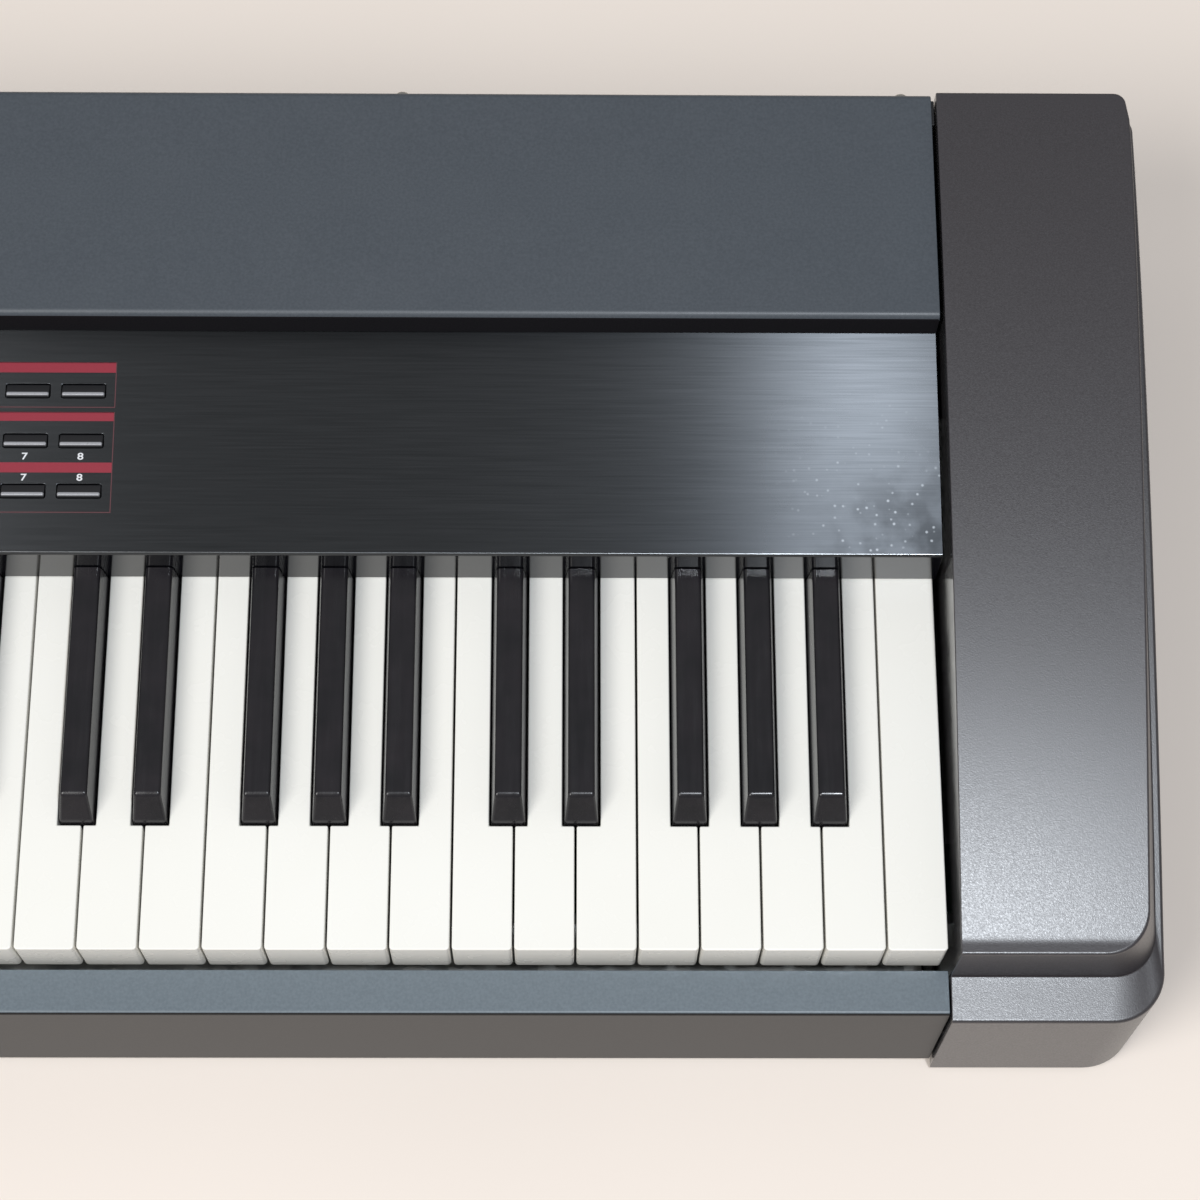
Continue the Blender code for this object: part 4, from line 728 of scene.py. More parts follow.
def octaves(mesh, start, count, finish):
    """Copies of a key, an octave apart, the first with its own line at start."""
    step = (OCTAVE, 0.0, 0.0)
    return grow(moved_copy(mesh, start), ROW, Count=count, Step=step, Finish=finish)


def comb_bar(first, last, back, low):
    """The bar that joins the tails of a comb's keys."""
    shape = bmesh.new()
    add_bar(shape, (first, back - COMB_BAR, low), (last, back, low + COMB_BAR))
    return rounded(keep(shape, "comb_bar"), COMB_INSET)


lowest_a = -HALF_KEYS
first_c = lowest_a + 2 * WHITE_PITCH
white_rows = [octaves(white_shapes["lowest a"], lowest_a, 1, IVORY)]
white_rows.append(octaves(white_shapes["b"], lowest_a + WHITE_PITCH, 6, IVORY))
for index, letter in enumerate("cdefga"):
    white_rows.append(octaves(white_shapes[letter], first_c + index * WHITE_PITCH, 5, IVORY))
bar_start, bar_end = lowest_a + 2 * KEY_GAP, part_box("white_keys_lower")[1].x - KEY_GAP
white_rows.append(comb_bar(bar_start, bar_end, KEY_TAIL_END - COMB_INSET, TAIL_LOW + COMB_INSET))
piece(
    "dressed_white_keys_lower", joined("white_comb", white_rows), IVORY, "white_keys_lower",
    "white_key_plastic", "white_keys_lower",
)

BLACK_LINES = {"cs": 1, "ds": 2, "fs": 4, "gs": 5}
first_black = lowest_a + WHITE_PITCH + BLACK_SHIFT["as"]
black_rows = [octaves(black_shape, first_black, 6, EBONY)]
for letter, boundary in BLACK_LINES.items():
    middle = first_c + boundary * WHITE_PITCH + BLACK_SHIFT[letter]
    black_rows.append(octaves(black_shape, middle, 5, EBONY))
last_black = first_black + 5 * OCTAVE
black_back = KEY_TAIL_END - BLACK_TAIL_END - COMB_INSET
black_bar_low = TAIL_LOW + BLACK_TAIL_THICKNESS - COMB_INSET - COMB_BAR
black_rows.append(comb_bar(first_black, last_black, black_back, black_bar_low))
piece(
    "dressed_black_keys_lower", joined("black_comb", black_rows), EBONY, "black_keys_lower",
    "black_key_plastic", "black_keys_lower",
)
print("keys in the combs:", 1 + 6 + 6 * 5, "white and", 6 + 4 * 5, "black")

# %% [markdown]
# An end block has two tiers. Its top climbs from the front and levels out to the rear, and a ledge
# runs round it at half height. The block is built as rings from the bottom to the top: each ring
# starts at the inner face in front, goes round the outside and ends at the inner face behind. The
# rounded edges are rings too. The hollow inside is a second set of rings, a wall's thickness smaller.

# %% End blocks
BLOCK_WALL = 3 * MM
BLOCK_LEAN = 2.2 * MM
BLOCK_LEDGE = 17.5 * MM
BLOCK_FRONT_RISE = 15.5 * MM
BLOCK_REAR_RISE = 53 * MM
BLOCK_TOP_CURVE = 1.85
LEDGE_FRONT_DROP = 20 * MM
LEDGE_REAR_RISE = 31 * MM
LEDGE_CURVE = 1.6
LEDGE_WIDTH = 2 * MM
LEDGE_CLIMB = 2.4 * MM
REAR_LEDGE = 0.5 * MM
REAR_TUCK = 1.2 * MM
REAR_TUCK_RUN = 12 * MM
LOWER_EDGE = 1.4 * MM
UPPER_EDGE = 1.1 * MM
SIDE_DRAFT = 0.474
LEAST_DRAFT = 2 * MM
FRONT_DRAFT = 0.3 * MM
REAR_DRAFT = 1.2 * MM
LOWER_CORNER = 21 * MM
UPPER_CORNER = 17 * MM
REAR_CORNER = 8 * MM
INNER_EDGE = 0.45 * MM
CORNER_STEPS = 14
SIDE_STEPS = 48
EDGE_STEPS = 5
FRONT_Y, REAR_Y = block_low.y, block_high.y


def block_top(y):
    """Height of a block's top, which climbs from the front and levels out to the rear."""
    share = min(1.0, (REAR_Y - y) / (REAR_Y - KEY_FRONT))
    drop = (BLOCK_REAR_RISE - BLOCK_FRONT_RISE) * share**BLOCK_TOP_CURVE
    return KEY_TOP + BLOCK_REAR_RISE - drop


def ledge_height(y):
    """Height of the ledge round a block's lower tier."""
    share = min(1.0, (REAR_Y - REAR_CORNER - y) / (REAR_Y - REAR_CORNER - KEY_FRONT))
    drop = (LEDGE_REAR_RISE + LEDGE_FRONT_DROP) * max(0.0, share) ** LEDGE_CURVE
    return KEY_TOP + LEDGE_REAR_RISE - drop


def ledge_root(y):
    """Height of the ledge where it meets the upper tier. Its wide front part slopes forwards."""
    near_front = 1.0 - (y - FRONT_Y - BLOCK_LEDGE) / UPPER_CORNER
    return ledge_height(y) + LEDGE_CLIMB * min(1.0, max(0.0, near_front))


def ledge_inset(y):
    """How far the upper tier stands in from the lower tier's side. It tucks in near the rear."""
    near = min(1.0, max(0.0, 1.0 - (REAR_Y - REAR_CORNER - y) / REAR_TUCK_RUN))
    return LOWER_EDGE + LEDGE_WIDTH + REAR_TUCK * near**2


def side_draft(y):
    """How far the upper tier's side leans in. The wall leans more where it is taller."""
    wall = block_top(y) - ledge_height(y)
    return LEAST_DRAFT + SIDE_DRAFT * max(0.0, wall - BLOCK_REAR_RISE + LEDGE_REAR_RISE)


def block_ring(front, inset, rear_inset, corner, inner_x, height):
    """One ring, from the inner front corner round the outside to the inner rear corner."""
    outer_x = block_high.x
    rear = REAR_Y - rear_inset
    rear_corner = REAR_CORNER - rear_inset
    start = front + corner
    corner_x = outer_x - inset(start)
    ring = [(inner_x, front)] + arc((corner_x - corner, start), corner, -90, 0, CORNER_STEPS)
    for step in range(1, SIDE_STEPS):
        y = start + (rear - rear_corner - start) * step / SIDE_STEPS
        ring.append((outer_x - inset(y), y))
    rear_x = outer_x - inset(rear - rear_corner)
    ring += arc((rear_x - rear_corner, rear - rear_corner), rear_corner, 0, 90, CORNER_STEPS // 2)
    ring.append((inner_x, rear))
    return [(x, y, height(y)) for x, y in ring]


def block_rings(wall):
    """All rings of the outer skin, or with a wall thickness those of the hollow."""
    inner_x = block_low.x + wall
    ledge_front = FRONT_Y + BLOCK_LEAN
    upper_front = ledge_front + BLOCK_LEDGE
    upper_rear = LOWER_EDGE + REAR_LEDGE
    rings = []

    def add_ring(front, inset, rear_inset, corner, height):
        rings.append(block_ring(
            front + wall, lambda y: inset(y) + wall, rear_inset + wall,
            max(corner - wall, REAR_CORNER), inner_x, lambda y: max(height(y) - wall, block_low.z),
        ))

    def round_over(front, inset, rear_inset, corner, height, radius):
        for step in range(EDGE_STEPS + 1):
            turn = math.pi / 2 * step / EDGE_STEPS
            back, drop = radius * (1 - math.cos(turn)), radius * (1 - math.sin(turn))
            add_ring(
                front + back, lambda y, back=back: inset(y) + back, rear_inset + back, corner,
                lambda y, drop=drop: height(y) - drop,
            )

    add_ring(FRONT_Y, lambda y: 0.0, 0.0, LOWER_CORNER, lambda y: block_low.z)
    round_over(ledge_front, lambda y: 0.0, 0.0, LOWER_CORNER, ledge_height, LOWER_EDGE)
    add_ring(upper_front, ledge_inset, upper_rear, UPPER_CORNER, ledge_root)
    round_over(
        upper_front + FRONT_DRAFT, lambda y: ledge_inset(y) + side_draft(y),
        upper_rear + REAR_DRAFT, UPPER_CORNER, block_top, UPPER_EDGE,
    )
    return rings


def add_block_skin(shape, rings):
    """Covers the rings, their top and their inner face. The bottom stays open. Returns its edge."""
    inner_x = rings[0][0][0]
    rows = [[shape.verts.new(point) for point in ring] for ring in rings]
    for lower, upper in zip(rows, rows[1:]):
        for here in range(len(lower) - 1):
            shape.faces.new((lower[here], lower[here + 1], upper[here + 1], upper[here]))
    top = rows[-1]
    inner = [top[0]] + [shape.verts.new((inner_x, v.co.y, v.co.z)) for v in top[2:-2]] + [top[-1]]
    shape.faces.new((top[0], top[1], top[2], inner[1]))
    for here in range(2, len(top) - 3):
        shape.faces.new((top[here], top[here + 1], inner[here], inner[here - 1]))
    shape.faces.new((top[-3], top[-2], top[-1], inner[-2]))
    shape.faces.new([row[0] for row in rows] + inner[1:-1] + [row[-1] for row in reversed(rows)])
    return rows[0]


def end_block():
    """The right-hand block, open below."""
    shape = bmesh.new()
    outer = add_block_skin(shape, block_rings(0.0))
    inner = add_block_skin(shape, block_rings(BLOCK_WALL))
    for here in range(len(outer)):
        shape.faces.new((outer[here - 1], outer[here], inner[here], inner[here - 1]))
    return rounded(keep(shape, "end_block"), INNER_EDGE, 3)


right_block = end_block()
left_block = right_block.copy()
left_block.transform(Matrix.Diagonal((-1, 1, 1, 1)))
left_block.flip_normals()
for name, block in (("end_block_right", right_block), ("end_block_left", left_block)):
    piece(f"dressed_{name}", block, [MOULDING, SMOOTH_MOULDING], "case", "moulded_plastic", name)
    for face in block.polygons:
        looks_in = abs(face.normal.x) > 0.98
        face.material_index = looks_in and abs(face.center.x) < block_low.x + BLOCK_WALL / 2
print("faces in a block:", len(right_block.polygons))

# %% [markdown]
# The cover, the key slip and the panel are sheet metal. Each is a path of its outer face, seen from
# the side, that the sheet's thickness is added to. Bends are arcs, because sheet never folds sharp.

# %% Rear cover and key slip
COVER_SHEET = 1.5 * MM
COVER_BEND = 3 * MM
COVER_FRONT_DROP = 1.85 * MM
COVER_FLANGE = 9 * MM
SLIP_SHEET = 1.2 * MM
SLIP_BEND = 1.6 * MM
SLIP_LEAN = 2.2 * MM
SLIP_LIP = 7 * MM
SLIP_FOOT = 9 * MM
SHEET_EDGE = 0.3 * MM
slip_low, slip_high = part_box("key_slip")


def bent_sheet(name, path, thickness, half_width):
    """A bent sheet across the piano, with its edges rounded."""
    shape = bmesh.new()
    draw_out(shape, sheet_section(path, thickness), -half_width, half_width)
    return rounded(keep(shape, name), SHEET_EDGE)


cover_rear_top = cover_high.z
cover_front_top = cover_rear_top - COVER_FRONT_DROP
cover_path = [(cover_low.y, cover_low.z)]
front_bend = (cover_low.y + COVER_BEND, cover_front_top - COVER_BEND)
rear_bend = (cover_high.y - COVER_BEND, cover_rear_top - COVER_BEND)
cover_path += arc(front_bend, COVER_BEND, 180, 92, 10) + arc(rear_bend, COVER_BEND, 88, 0, 8)
cover_path.append((cover_high.y, cover_rear_top - COVER_FLANGE))
cover = bent_sheet("rear_cover_sheet", cover_path, COVER_SHEET, cover_high.x)
piece("dressed_rear_cover", cover, [PAINT, LIP_SHADE], "case", "cover_paint", "rear_cover")
# The front lip below the bend gets the painted shade.
for face in cover.polygons:
    if face.normal.y < -0.9 and face.center.z < cover_front_top - COVER_BEND / 2:
        face.material_index = 1

slip_top_front = slip_low.y + SLIP_LEAN
slip_path = [(slip_low.y + SLIP_SHEET + SLIP_FOOT, slip_low.z), (slip_low.y, slip_low.z)]
slip_path += arc((slip_top_front + SLIP_BEND, slip_high.z - SLIP_BEND), SLIP_BEND, 178, 90, 8)
slip_path += [(slip_high.y, slip_high.z), (slip_high.y, slip_high.z - SLIP_LIP)]
slip = bent_sheet("key_slip_sheet", slip_path, SLIP_SHEET, slip_high.x)
piece("dressed_key_slip", slip, [SLIP_PAINT, SLIP_FACE], "case", "cover_paint", "key_slip")
for face in slip.polygons:
    if face.normal.y < -0.5:
        face.material_index = 1
print("cover", len(cover.polygons), "faces, slip", len(slip.polygons), "faces")

# %% [markdown]
# Everything on the panel is laid out flat, as (across, run back from the front edge, lift), and one
# matrix tilts it into place. Holes are cut while the panel is still a plain sheet. Then each face
# gets its finish by the way it looks: forwards is the glossy face, up is the brushed top, and the
# narrow face between the two is the bright cut edge. The brush lines need a map of their own, since
# the shine is turned along it, and large faces are shaded flat so that no streak crosses them.

# %% Control panel
PANEL_TILT = math.radians(5)
PANEL_RISE = 25 * MM
PANEL_SHEET = 2 * MM
PANEL_CUT = 0.8 * MM
HOLE_EDGE = 0.2 * MM
HOLE_CORNER = 0.9 * MM
BUTTON_PITCH = 21.7 * MM
BUTTON_ROW_PITCH = 20.5 * MM
BUTTON_FIRST_RUN = 25.4 * MM
BUTTON_COLUMNS = 8
SLOT_WIDTH = 17.4 * MM
SLOT_RUN = 6 * MM
DISPLAY_X = -20 * MM
DISPLAY_RUN = 45 * MM
WINDOW_WIDTH = 96 * MM
WINDOW_RUN = 26 * MM
SLIDER_SLOT_WIDTH = 2.6 * MM
SLIDER_SLOT_RUN = 52 * MM
LEVER_RUN = 42 * MM
LEVER_SLOT_WIDTH = 19.6 * MM
LEVER_SLOT_DEPTH = 11.2 * MM
fold = KEY_TOP + PANEL_RISE
PANEL_PLACE = Matrix.Translation((0, panel_low.y, fold)) @ Matrix.Rotation(PANEL_TILT, 4, "X")


first_column = middle_x("number_button_8") - (BUTTON_COLUMNS - 1) * BUTTON_PITCH
button_columns = [first_column + column * BUTTON_PITCH for column in range(BUTTON_COLUMNS)]
button_runs = [BUTTON_FIRST_RUN + row * BUTTON_ROW_PITCH for row in range(3)]
slider_lines = [middle_x("volume_slider"), middle_x("tone_slider")]
lever_line = middle_x("bender_lever")


def panel_holes():
    """Cutters for every hole in the panel, tilted with it."""
    shape = bmesh.new()
    holes = [(x, run, SLOT_WIDTH, SLOT_RUN) for run in button_runs for x in button_columns]
    holes += [(x, DISPLAY_RUN, SLIDER_SLOT_WIDTH, SLIDER_SLOT_RUN) for x in slider_lines]
    holes.append((DISPLAY_X, DISPLAY_RUN, WINDOW_WIDTH, WINDOW_RUN))
    holes.append((lever_line, LEVER_RUN, LEVER_SLOT_WIDTH, LEVER_SLOT_DEPTH))
    for hole in holes:
        add_prism(shape, soft_rectangle(*hole, HOLE_CORNER), -3 * PANEL_SHEET, 3 * PANEL_SHEET)
    return place(keep(shape, "panel_holes"), PANEL_PLACE)


def cut_sheet(mesh, cutter_mesh):
    """Cuts holes in a sheet."""
    cutter = new_object("cutter", cutter_mesh)

    def add(holder):
        cut = holder.modifiers.new("holes", "BOOLEAN")
        cut.operation = "DIFFERENCE"
        cut.solver = "EXACT"
        cut.object = cutter

    made = evaluated(mesh, add)
    bpy.data.objects.remove(cutter)
    return made


def panel_piece(name, mesh, finish, body, slot, *stands_for):
    """A piece that was laid out flat, set in its place on the tilted panel."""
    return piece(name, place(mesh, PANEL_PLACE), finish, body, slot, *stands_for)


slope = math.tan(PANEL_TILT)
panel_path = [
    (panel_low.y, panel_low.z), (panel_low.y, fold - PANEL_CUT),
    (panel_low.y + PANEL_CUT, fold + PANEL_CUT * slope), (panel_high.y, panel_high.z),
]
sheet = bmesh.new()
draw_out(sheet, sheet_section(panel_path, PANEL_SHEET), -panel_high.x, panel_high.x)
panel = rounded(cut_sheet(keep(sheet, "control_panel_sheet"), panel_holes()), HOLE_EDGE)
panel.attributes.remove(panel.attributes["custom_normal"])
for face in panel.polygons:
    face.use_smooth = face.area < HOLE_EDGE * HOLE_CORNER
lines_map = panel.uv_layers.new(name="brush_lines")
for loop in panel.loops:
    point = panel.vertices[loop.vertex_index].co
    lines_map.data[loop.index].uv = (point.x, point.y + point.z)
metals = [BRUSHED, PANEL_FACE, BRIGHT_EDGE]
piece("dressed_control_panel", panel, metals, "case", "panel_metal", "control_panel")
for face in panel.polygons:
    way, centre = face.normal, face.center
    on_fold = centre.z > fold - 2 * PANEL_CUT and centre.y < panel_low.y + 2 * PANEL_CUT
    if way.y < -0.9:
        face.material_index = 1
    elif on_fold and way.z > 0.2 and way.y < -0.2:
        face.material_index = 2
print("panel faces:", len(panel.polygons))

# %% [markdown]
# Printing lies on the metal as a very thin layer: red bands over the rows of buttons, thin frames
# that group them, plain numbers for the buttons, and scale marks beside the sliders.

# %% Printing on the panel
INK_LIFT = 0.03 * MM
INK_THICKNESS = 0.04 * MM
BAND_RUNS = ((32.9 * MM, 37.0 * MM), (54.0 * MM, 57.7 * MM), (74.0 * MM, 78.3 * MM))
BAND_MARGIN = 12.3 * MM
FRAME_MARGIN = 12.6 * MM
FRAME_LINE = 0.35 * MM
FRAME_SPANS = ((16.6 * MM, 57.7 * MM), (59.5 * MM, 78.3 * MM))
NUMERAL_RUNS = (39.4 * MM, 30.8 * MM)
NUMERAL_SIZE = 3.9 * MM
NUMERAL_WIDEN = 1.25
NUMERAL_BOLD = 0.06 * MM
TICK_COUNT = 11
TICK_LENGTH = 3.4 * MM
TICK_OFFSET = 6.4 * MM
TICK_LINE = 0.4 * MM


def print_rectangle(shape, left, right, front, back):
    """A thin layer of ink, as a rectangle on the panel."""
    outline = [(left, front), (right, front), (right, back), (left, back)]
    add_prism(shape, outline, INK_LIFT, INK_LIFT + INK_THICKNESS)


def numeral(figure, x, run):
    """A plain number, as a mesh that lies on the panel."""
    words = bpy.data.curves.new("numeral", "FONT")
    words.body = str(figure)
    words.size = NUMERAL_SIZE
    words.extrude = INK_THICKNESS / 2
    words.offset = NUMERAL_BOLD
    words.align_x, words.align_y = "CENTER", "CENTER"
    holder = new_object("numeral", words)
    depsgraph = bpy.context.evaluated_depsgraph_get()
    mesh = bpy.data.meshes.new_from_object(holder.evaluated_get(depsgraph), depsgraph=depsgraph)
    bpy.data.objects.remove(holder)
    mesh.transform(Matrix.Diagonal((NUMERAL_WIDEN, 1, 1, 1)))
    mesh.transform(Matrix.Translation((x, run, INK_LIFT + INK_THICKNESS / 2)))
    return mesh


first_x, last_x = button_columns[0], button_columns[-1]
bands = bmesh.new()
for front, back in BAND_RUNS:
    print_rectangle(bands, first_x - BAND_MARGIN, last_x + BAND_MARGIN, front, back)
bands = keep(bands, "printed_red_bands")
panel_piece("printed_red_bands", bands, RED_INK, "case", "panel_metal")

thin_frames = bmesh.new()
for front, back in FRAME_SPANS:
    left, right = first_x - FRAME_MARGIN, last_x + FRAME_MARGIN
    front_in, back_in = front + FRAME_LINE, back - FRAME_LINE
    print_rectangle(thin_frames, left, right, front, front_in)
    print_rectangle(thin_frames, left, right, back_in, back)
    for side in (left, right - FRAME_LINE):
        print_rectangle(thin_frames, side, side + FRAME_LINE, front_in, back_in)
thin_frames = keep(thin_frames, "printed_thin_frames")
panel_piece("printed_thin_frames", thin_frames, DULL_RED_INK, "case", "panel_metal")

numerals = [
    numeral(figure, x, run) for run in NUMERAL_RUNS for figure, x in enumerate(button_columns, 1)
]
numerals = joined("printed_numerals", numerals)
panel_piece("printed_numerals", numerals, WHITE_INK, "case", "panel_metal")

tick = bmesh.new()
first_tick = DISPLAY_RUN - SLIDER_SLOT_RUN / 2
tick_step = (0.0, SLIDER_SLOT_RUN / (TICK_COUNT - 1), 0.0)
print_rectangle(tick, 0, TICK_LENGTH, first_tick, first_tick + TICK_LINE)
tick = keep(tick, "tick")
scales = []
for x in slider_lines:
    for offset in (TICK_OFFSET, -TICK_OFFSET - TICK_LENGTH):
        one = moved_copy(tick, x + offset, -TICK_LINE / 2)
        scales.append(grow(one, ROW, Count=TICK_COUNT, Step=tick_step, Finish=WHITE_INK))
panel_piece("printed_slider_scales", joined("scales", scales), WHITE_INK, "case", "panel_metal")
print("numerals and scales printed")

# %% [markdown]
# A button is a dark cap with a light rounded bar along its front edge, which the finger finds. The
# cap slopes down behind the bar. Below the panel a flange keeps the cap in its slot and a stem
# reaches the switch. The row tree makes six buttons of a strip from one.

# %% Buttons
CAP_CLEARANCE = 0.3 * MM
BAR_RUN = 1.5 * MM
BAR_BACK = 0.5 * MM
BAR_LIFT = 1.3 * MM
BAR_ROUND = 0.5 * MM
BAR_CORNER = BAR_RUN / 2.2
CAP_EDGE = 0.25 * MM
CAP_REAR_DROP = 0.6 * MM
FLANGE_MARGIN = 1 * MM
FLANGE_THICKNESS = 1.5 * MM
STEM = 5 * MM
STEM_LENGTH = 2 * MM
FLANGE_TOP = -PANEL_SHEET - CAP_CLEARANCE
CAP_HALF = SLOT_WIDTH / 2 - CAP_CLEARANCE


def button_cap(x, run):
    """The dark cap of one button, with its stem."""
    front, back = run - SLOT_RUN / 2 + CAP_CLEARANCE, run + SLOT_RUN / 2 - CAP_CLEARANCE
    bottom = FLANGE_TOP - FLANGE_THICKNESS / 2
    seat = BAR_LIFT - BAR_ROUND
    section = [
        (front, bottom), (back, bottom), (back, -CAP_REAR_DROP),
        (front + BAR_BACK + BAR_RUN, seat), (front + BAR_BACK / 2, seat), (front, 0.0),
    ]
    shape = bmesh.new()
    draw_out(shape, section, x - CAP_HALF, x + CAP_HALF)
    stem_low = FLANGE_TOP - FLANGE_THICKNESS - STEM_LENGTH
    add_prism(shape, soft_rectangle(x, run, STEM, STEM, CAP_EDGE), stem_low, bottom)
    return rounded(keep(shape, "button_cap"), CAP_EDGE)


def button_bar(x, run):
    """The light bar along a cap's front."""
    middle = run - SLOT_RUN / 2 + CAP_CLEARANCE + BAR_BACK + BAR_RUN / 2
    shape = bmesh.new()
    outline = soft_rectangle(x, middle, 2 * CAP_HALF - CAP_CLEARANCE, BAR_RUN, BAR_CORNER)
    add_prism(shape, outline, BAR_LIFT - 2 * BAR_ROUND, BAR_LIFT)
    return rounded(keep(shape, "button_bar"), BAR_ROUND, 3)


def button_flange(first, last, run):
    """The plate below the panel that keeps the caps of one node in their slots."""
    shape = bmesh.new()
    width = last - first + SLOT_WIDTH + 2 * FLANGE_MARGIN
    outline = soft_rectangle((first + last) / 2, run, width, SLOT_RUN + 2 * FLANGE_MARGIN, CAP_EDGE)
    add_prism(shape, outline, FLANGE_TOP - FLANGE_THICKNESS, FLANGE_TOP)
    return keep(shape, "button_flange")


button_step = (BUTTON_PITCH, 0.0, 0.0)
for kind, run in zip(("number", "tone", "group"), button_runs):
    rows = {f"{kind}_buttons_strip": button_columns[:-2]}
    rows.update({f"{kind}_button_{number}": [button_columns[number - 1]] for number in (7, 8)})
    for node, columns in rows.items():
        first, count = columns[0], len(columns)
        caps = grow(button_cap(first, run), ROW, Count=count, Step=button_step, Finish=CAP)
        caps = joined(node + "_caps", [caps, button_flange(first, columns[-1], run)])
        bars = grow(button_bar(first, run), ROW, Count=count, Step=button_step, Finish=RIDGE)
        panel_piece(f"dressed_{node}", caps, CAP, node, "cap_plastic", node)
        panel_piece(f"bars_of_{node}", bars, RIDGE, node, "cap_plastic")
print("buttons:", 3 * BUTTON_COLUMNS)

# %% [markdown]
# The display lies under a tinted window that is flush with the panel. A slider cap is waisted for
# the fingertip and has grip ribs and a white index line. The bender lever is a paddle on a drum.

# %% Display, sliders and lever
WINDOW_GAP = 0.3 * MM
CELLS_INSET = 4 * MM
CELLS_LIFT = 0.12 * MM
SLIDER_CAP_WIDTH = 11 * MM
SLIDER_CAP_RUN = 18 * MM
SLIDER_CAP_HEIGHT = 8 * MM
SLIDER_WAIST = 5 * MM
RIB_COUNT = 3
WAIST_RADIUS = 3 * MM
WAIST_LIFT = SLIDER_WAIST / 3
SLIDER_STEM = (1.4 * MM, 6 * MM)
CARRIAGE = 8 * MM
RIB = 0.7 * MM
LEVER_DRUM_RADIUS = 10.5 * MM
LEVER_DRUM_LENGTH = 14 * MM
LEVER_DEPTH = 10 * MM
LEVER_WIDTH = 8 * MM
LEVER_TIP = 5 * MM
LEVER_HEIGHT = 20 * MM



def display_pane(name, inset, corner, low, high):
    """A flat pane in the display's opening, smaller by an inset on every side."""
    width, depth = WINDOW_WIDTH - 2 * inset, WINDOW_RUN - 2 * inset
    shape = bmesh.new()
    add_prism(shape, soft_rectangle(DISPLAY_X, DISPLAY_RUN, width, depth, corner), low, high)
    return keep(shape, name)


window = rounded(display_pane("window", WINDOW_GAP, HOLE_CORNER, -PANEL_SHEET, 0), HOLE_EDGE)
panel_piece("dressed_display_window", window, WINDOW, "case", "window_plastic", "display_window")
cells_top = -PANEL_SHEET - CELLS_LIFT
lit = display_pane("display_cells", CELLS_INSET, CAP_EDGE, cells_top - CELLS_LIFT, cells_top)
panel_piece("display_cells", lit, LCD, "case", "window_plastic")


def slider_cap(x):
    """A waisted cap with grip ribs, the stem through the slot and the carriage under the panel."""
    run, bottom = DISPLAY_RUN, WINDOW_GAP
    top = bottom + SLIDER_CAP_HEIGHT
    half = SLIDER_CAP_RUN / 2
    shoulder = top - SLIDER_CAP_HEIGHT / 3
    hollow = arc((run, top + WAIST_LIFT), WAIST_RADIUS, -30, -150, 8)
    section = [
        (run - half, bottom), (run + half, bottom), (run + half, shoulder), (run + SLIDER_WAIST, top),
        *hollow, (run - SLIDER_WAIST, top), (run - half, shoulder),
    ]
    left, right = x - SLIDER_CAP_WIDTH / 2, x + SLIDER_CAP_WIDTH / 2
    shape = bmesh.new()
    draw_out(shape, section, left, right)
    for side in (-1, 1):
        for number in range(RIB_COUNT):
            rib = run + side * (SLIDER_WAIST + (number + 0.8) * 2 * RIB)
            rib_high = (right - RIB, rib + RIB / 2, top - (number + 0.6) * RIB)
            add_bar(shape, (left + RIB, rib - RIB / 2, bottom + RIB), rib_high)
    carriage_top = -PANEL_SHEET - WINDOW_GAP
    carriage = soft_rectangle(x, run, CARRIAGE, CARRIAGE, CAP_EDGE)
    add_prism(shape, soft_rectangle(x, run, *SLIDER_STEM, CAP_EDGE), carriage_top, bottom)
    add_prism(shape, carriage, carriage_top - CARRIAGE / 2, carriage_top)
    return rounded(keep(shape, "slider_cap"), CAP_EDGE)


def index_line(x):
    """The white line across the waist of a slider cap."""
    half = SLIDER_CAP_WIDTH / 2 - CAP_EDGE
    bottom = WINDOW_GAP + SLIDER_CAP_HEIGHT + WAIST_LIFT - WAIST_RADIUS
    shape = bmesh.new()
    line_low = (x - half, DISPLAY_RUN - RIB / 2, bottom - RIB)
    add_bar(shape, line_low, (x + half, DISPLAY_RUN + RIB / 2, bottom + CELLS_LIFT))
    return keep(shape, "index_line")


for node, x in zip(("volume_slider", "tone_slider"), slider_lines):
    panel_piece(f"dressed_{node}", slider_cap(x), CAP, node, "cap_plastic", node)
    panel_piece(f"line_of_{node}", index_line(x), WHITE_INK, node, "cap_plastic")


def bender_lever():
    """A paddle with a rounded tip, on a drum that lies along the run."""
    axis = -PANEL_SHEET - WINDOW_GAP - LEVER_DRUM_RADIUS
    half, tip = LEVER_WIDTH / 2, LEVER_TIP / 2
    tip_arc = arc((0, LEVER_HEIGHT - tip - axis), tip, 0, 180, 10)
    outline = [(half, 0), (half, -axis), *tip_arc, (-half, -axis), (-half, 0)]
    shape = bmesh.new()
    add_prism(shape, outline, -LEVER_DEPTH / 2, LEVER_DEPTH / 2)
    turned(shape, [(LEVER_DRUM_RADIUS, side * LEVER_DRUM_LENGTH / 2) for side in (-1, 1)])
    stand = Matrix.Translation((lever_line, LEVER_RUN, axis)) @ Matrix.Rotation(math.pi / 2, 4, "X")
    return rounded(place(keep(shape, "lever"), stand), RIB, 3)


lever = bender_lever()
panel_piece("dressed_bender_lever", lever, SMOOTH_MOULDING, "bender_lever", "cap_plastic", "bender_lever")
print("display, sliders and lever done")

# %% [markdown]
# The casing behind and below keeps the CAD meshes of its plates, welded and with their edges
# rounded. The sockets gain what the CAD leaves out: nickel collars, contacts and blades.

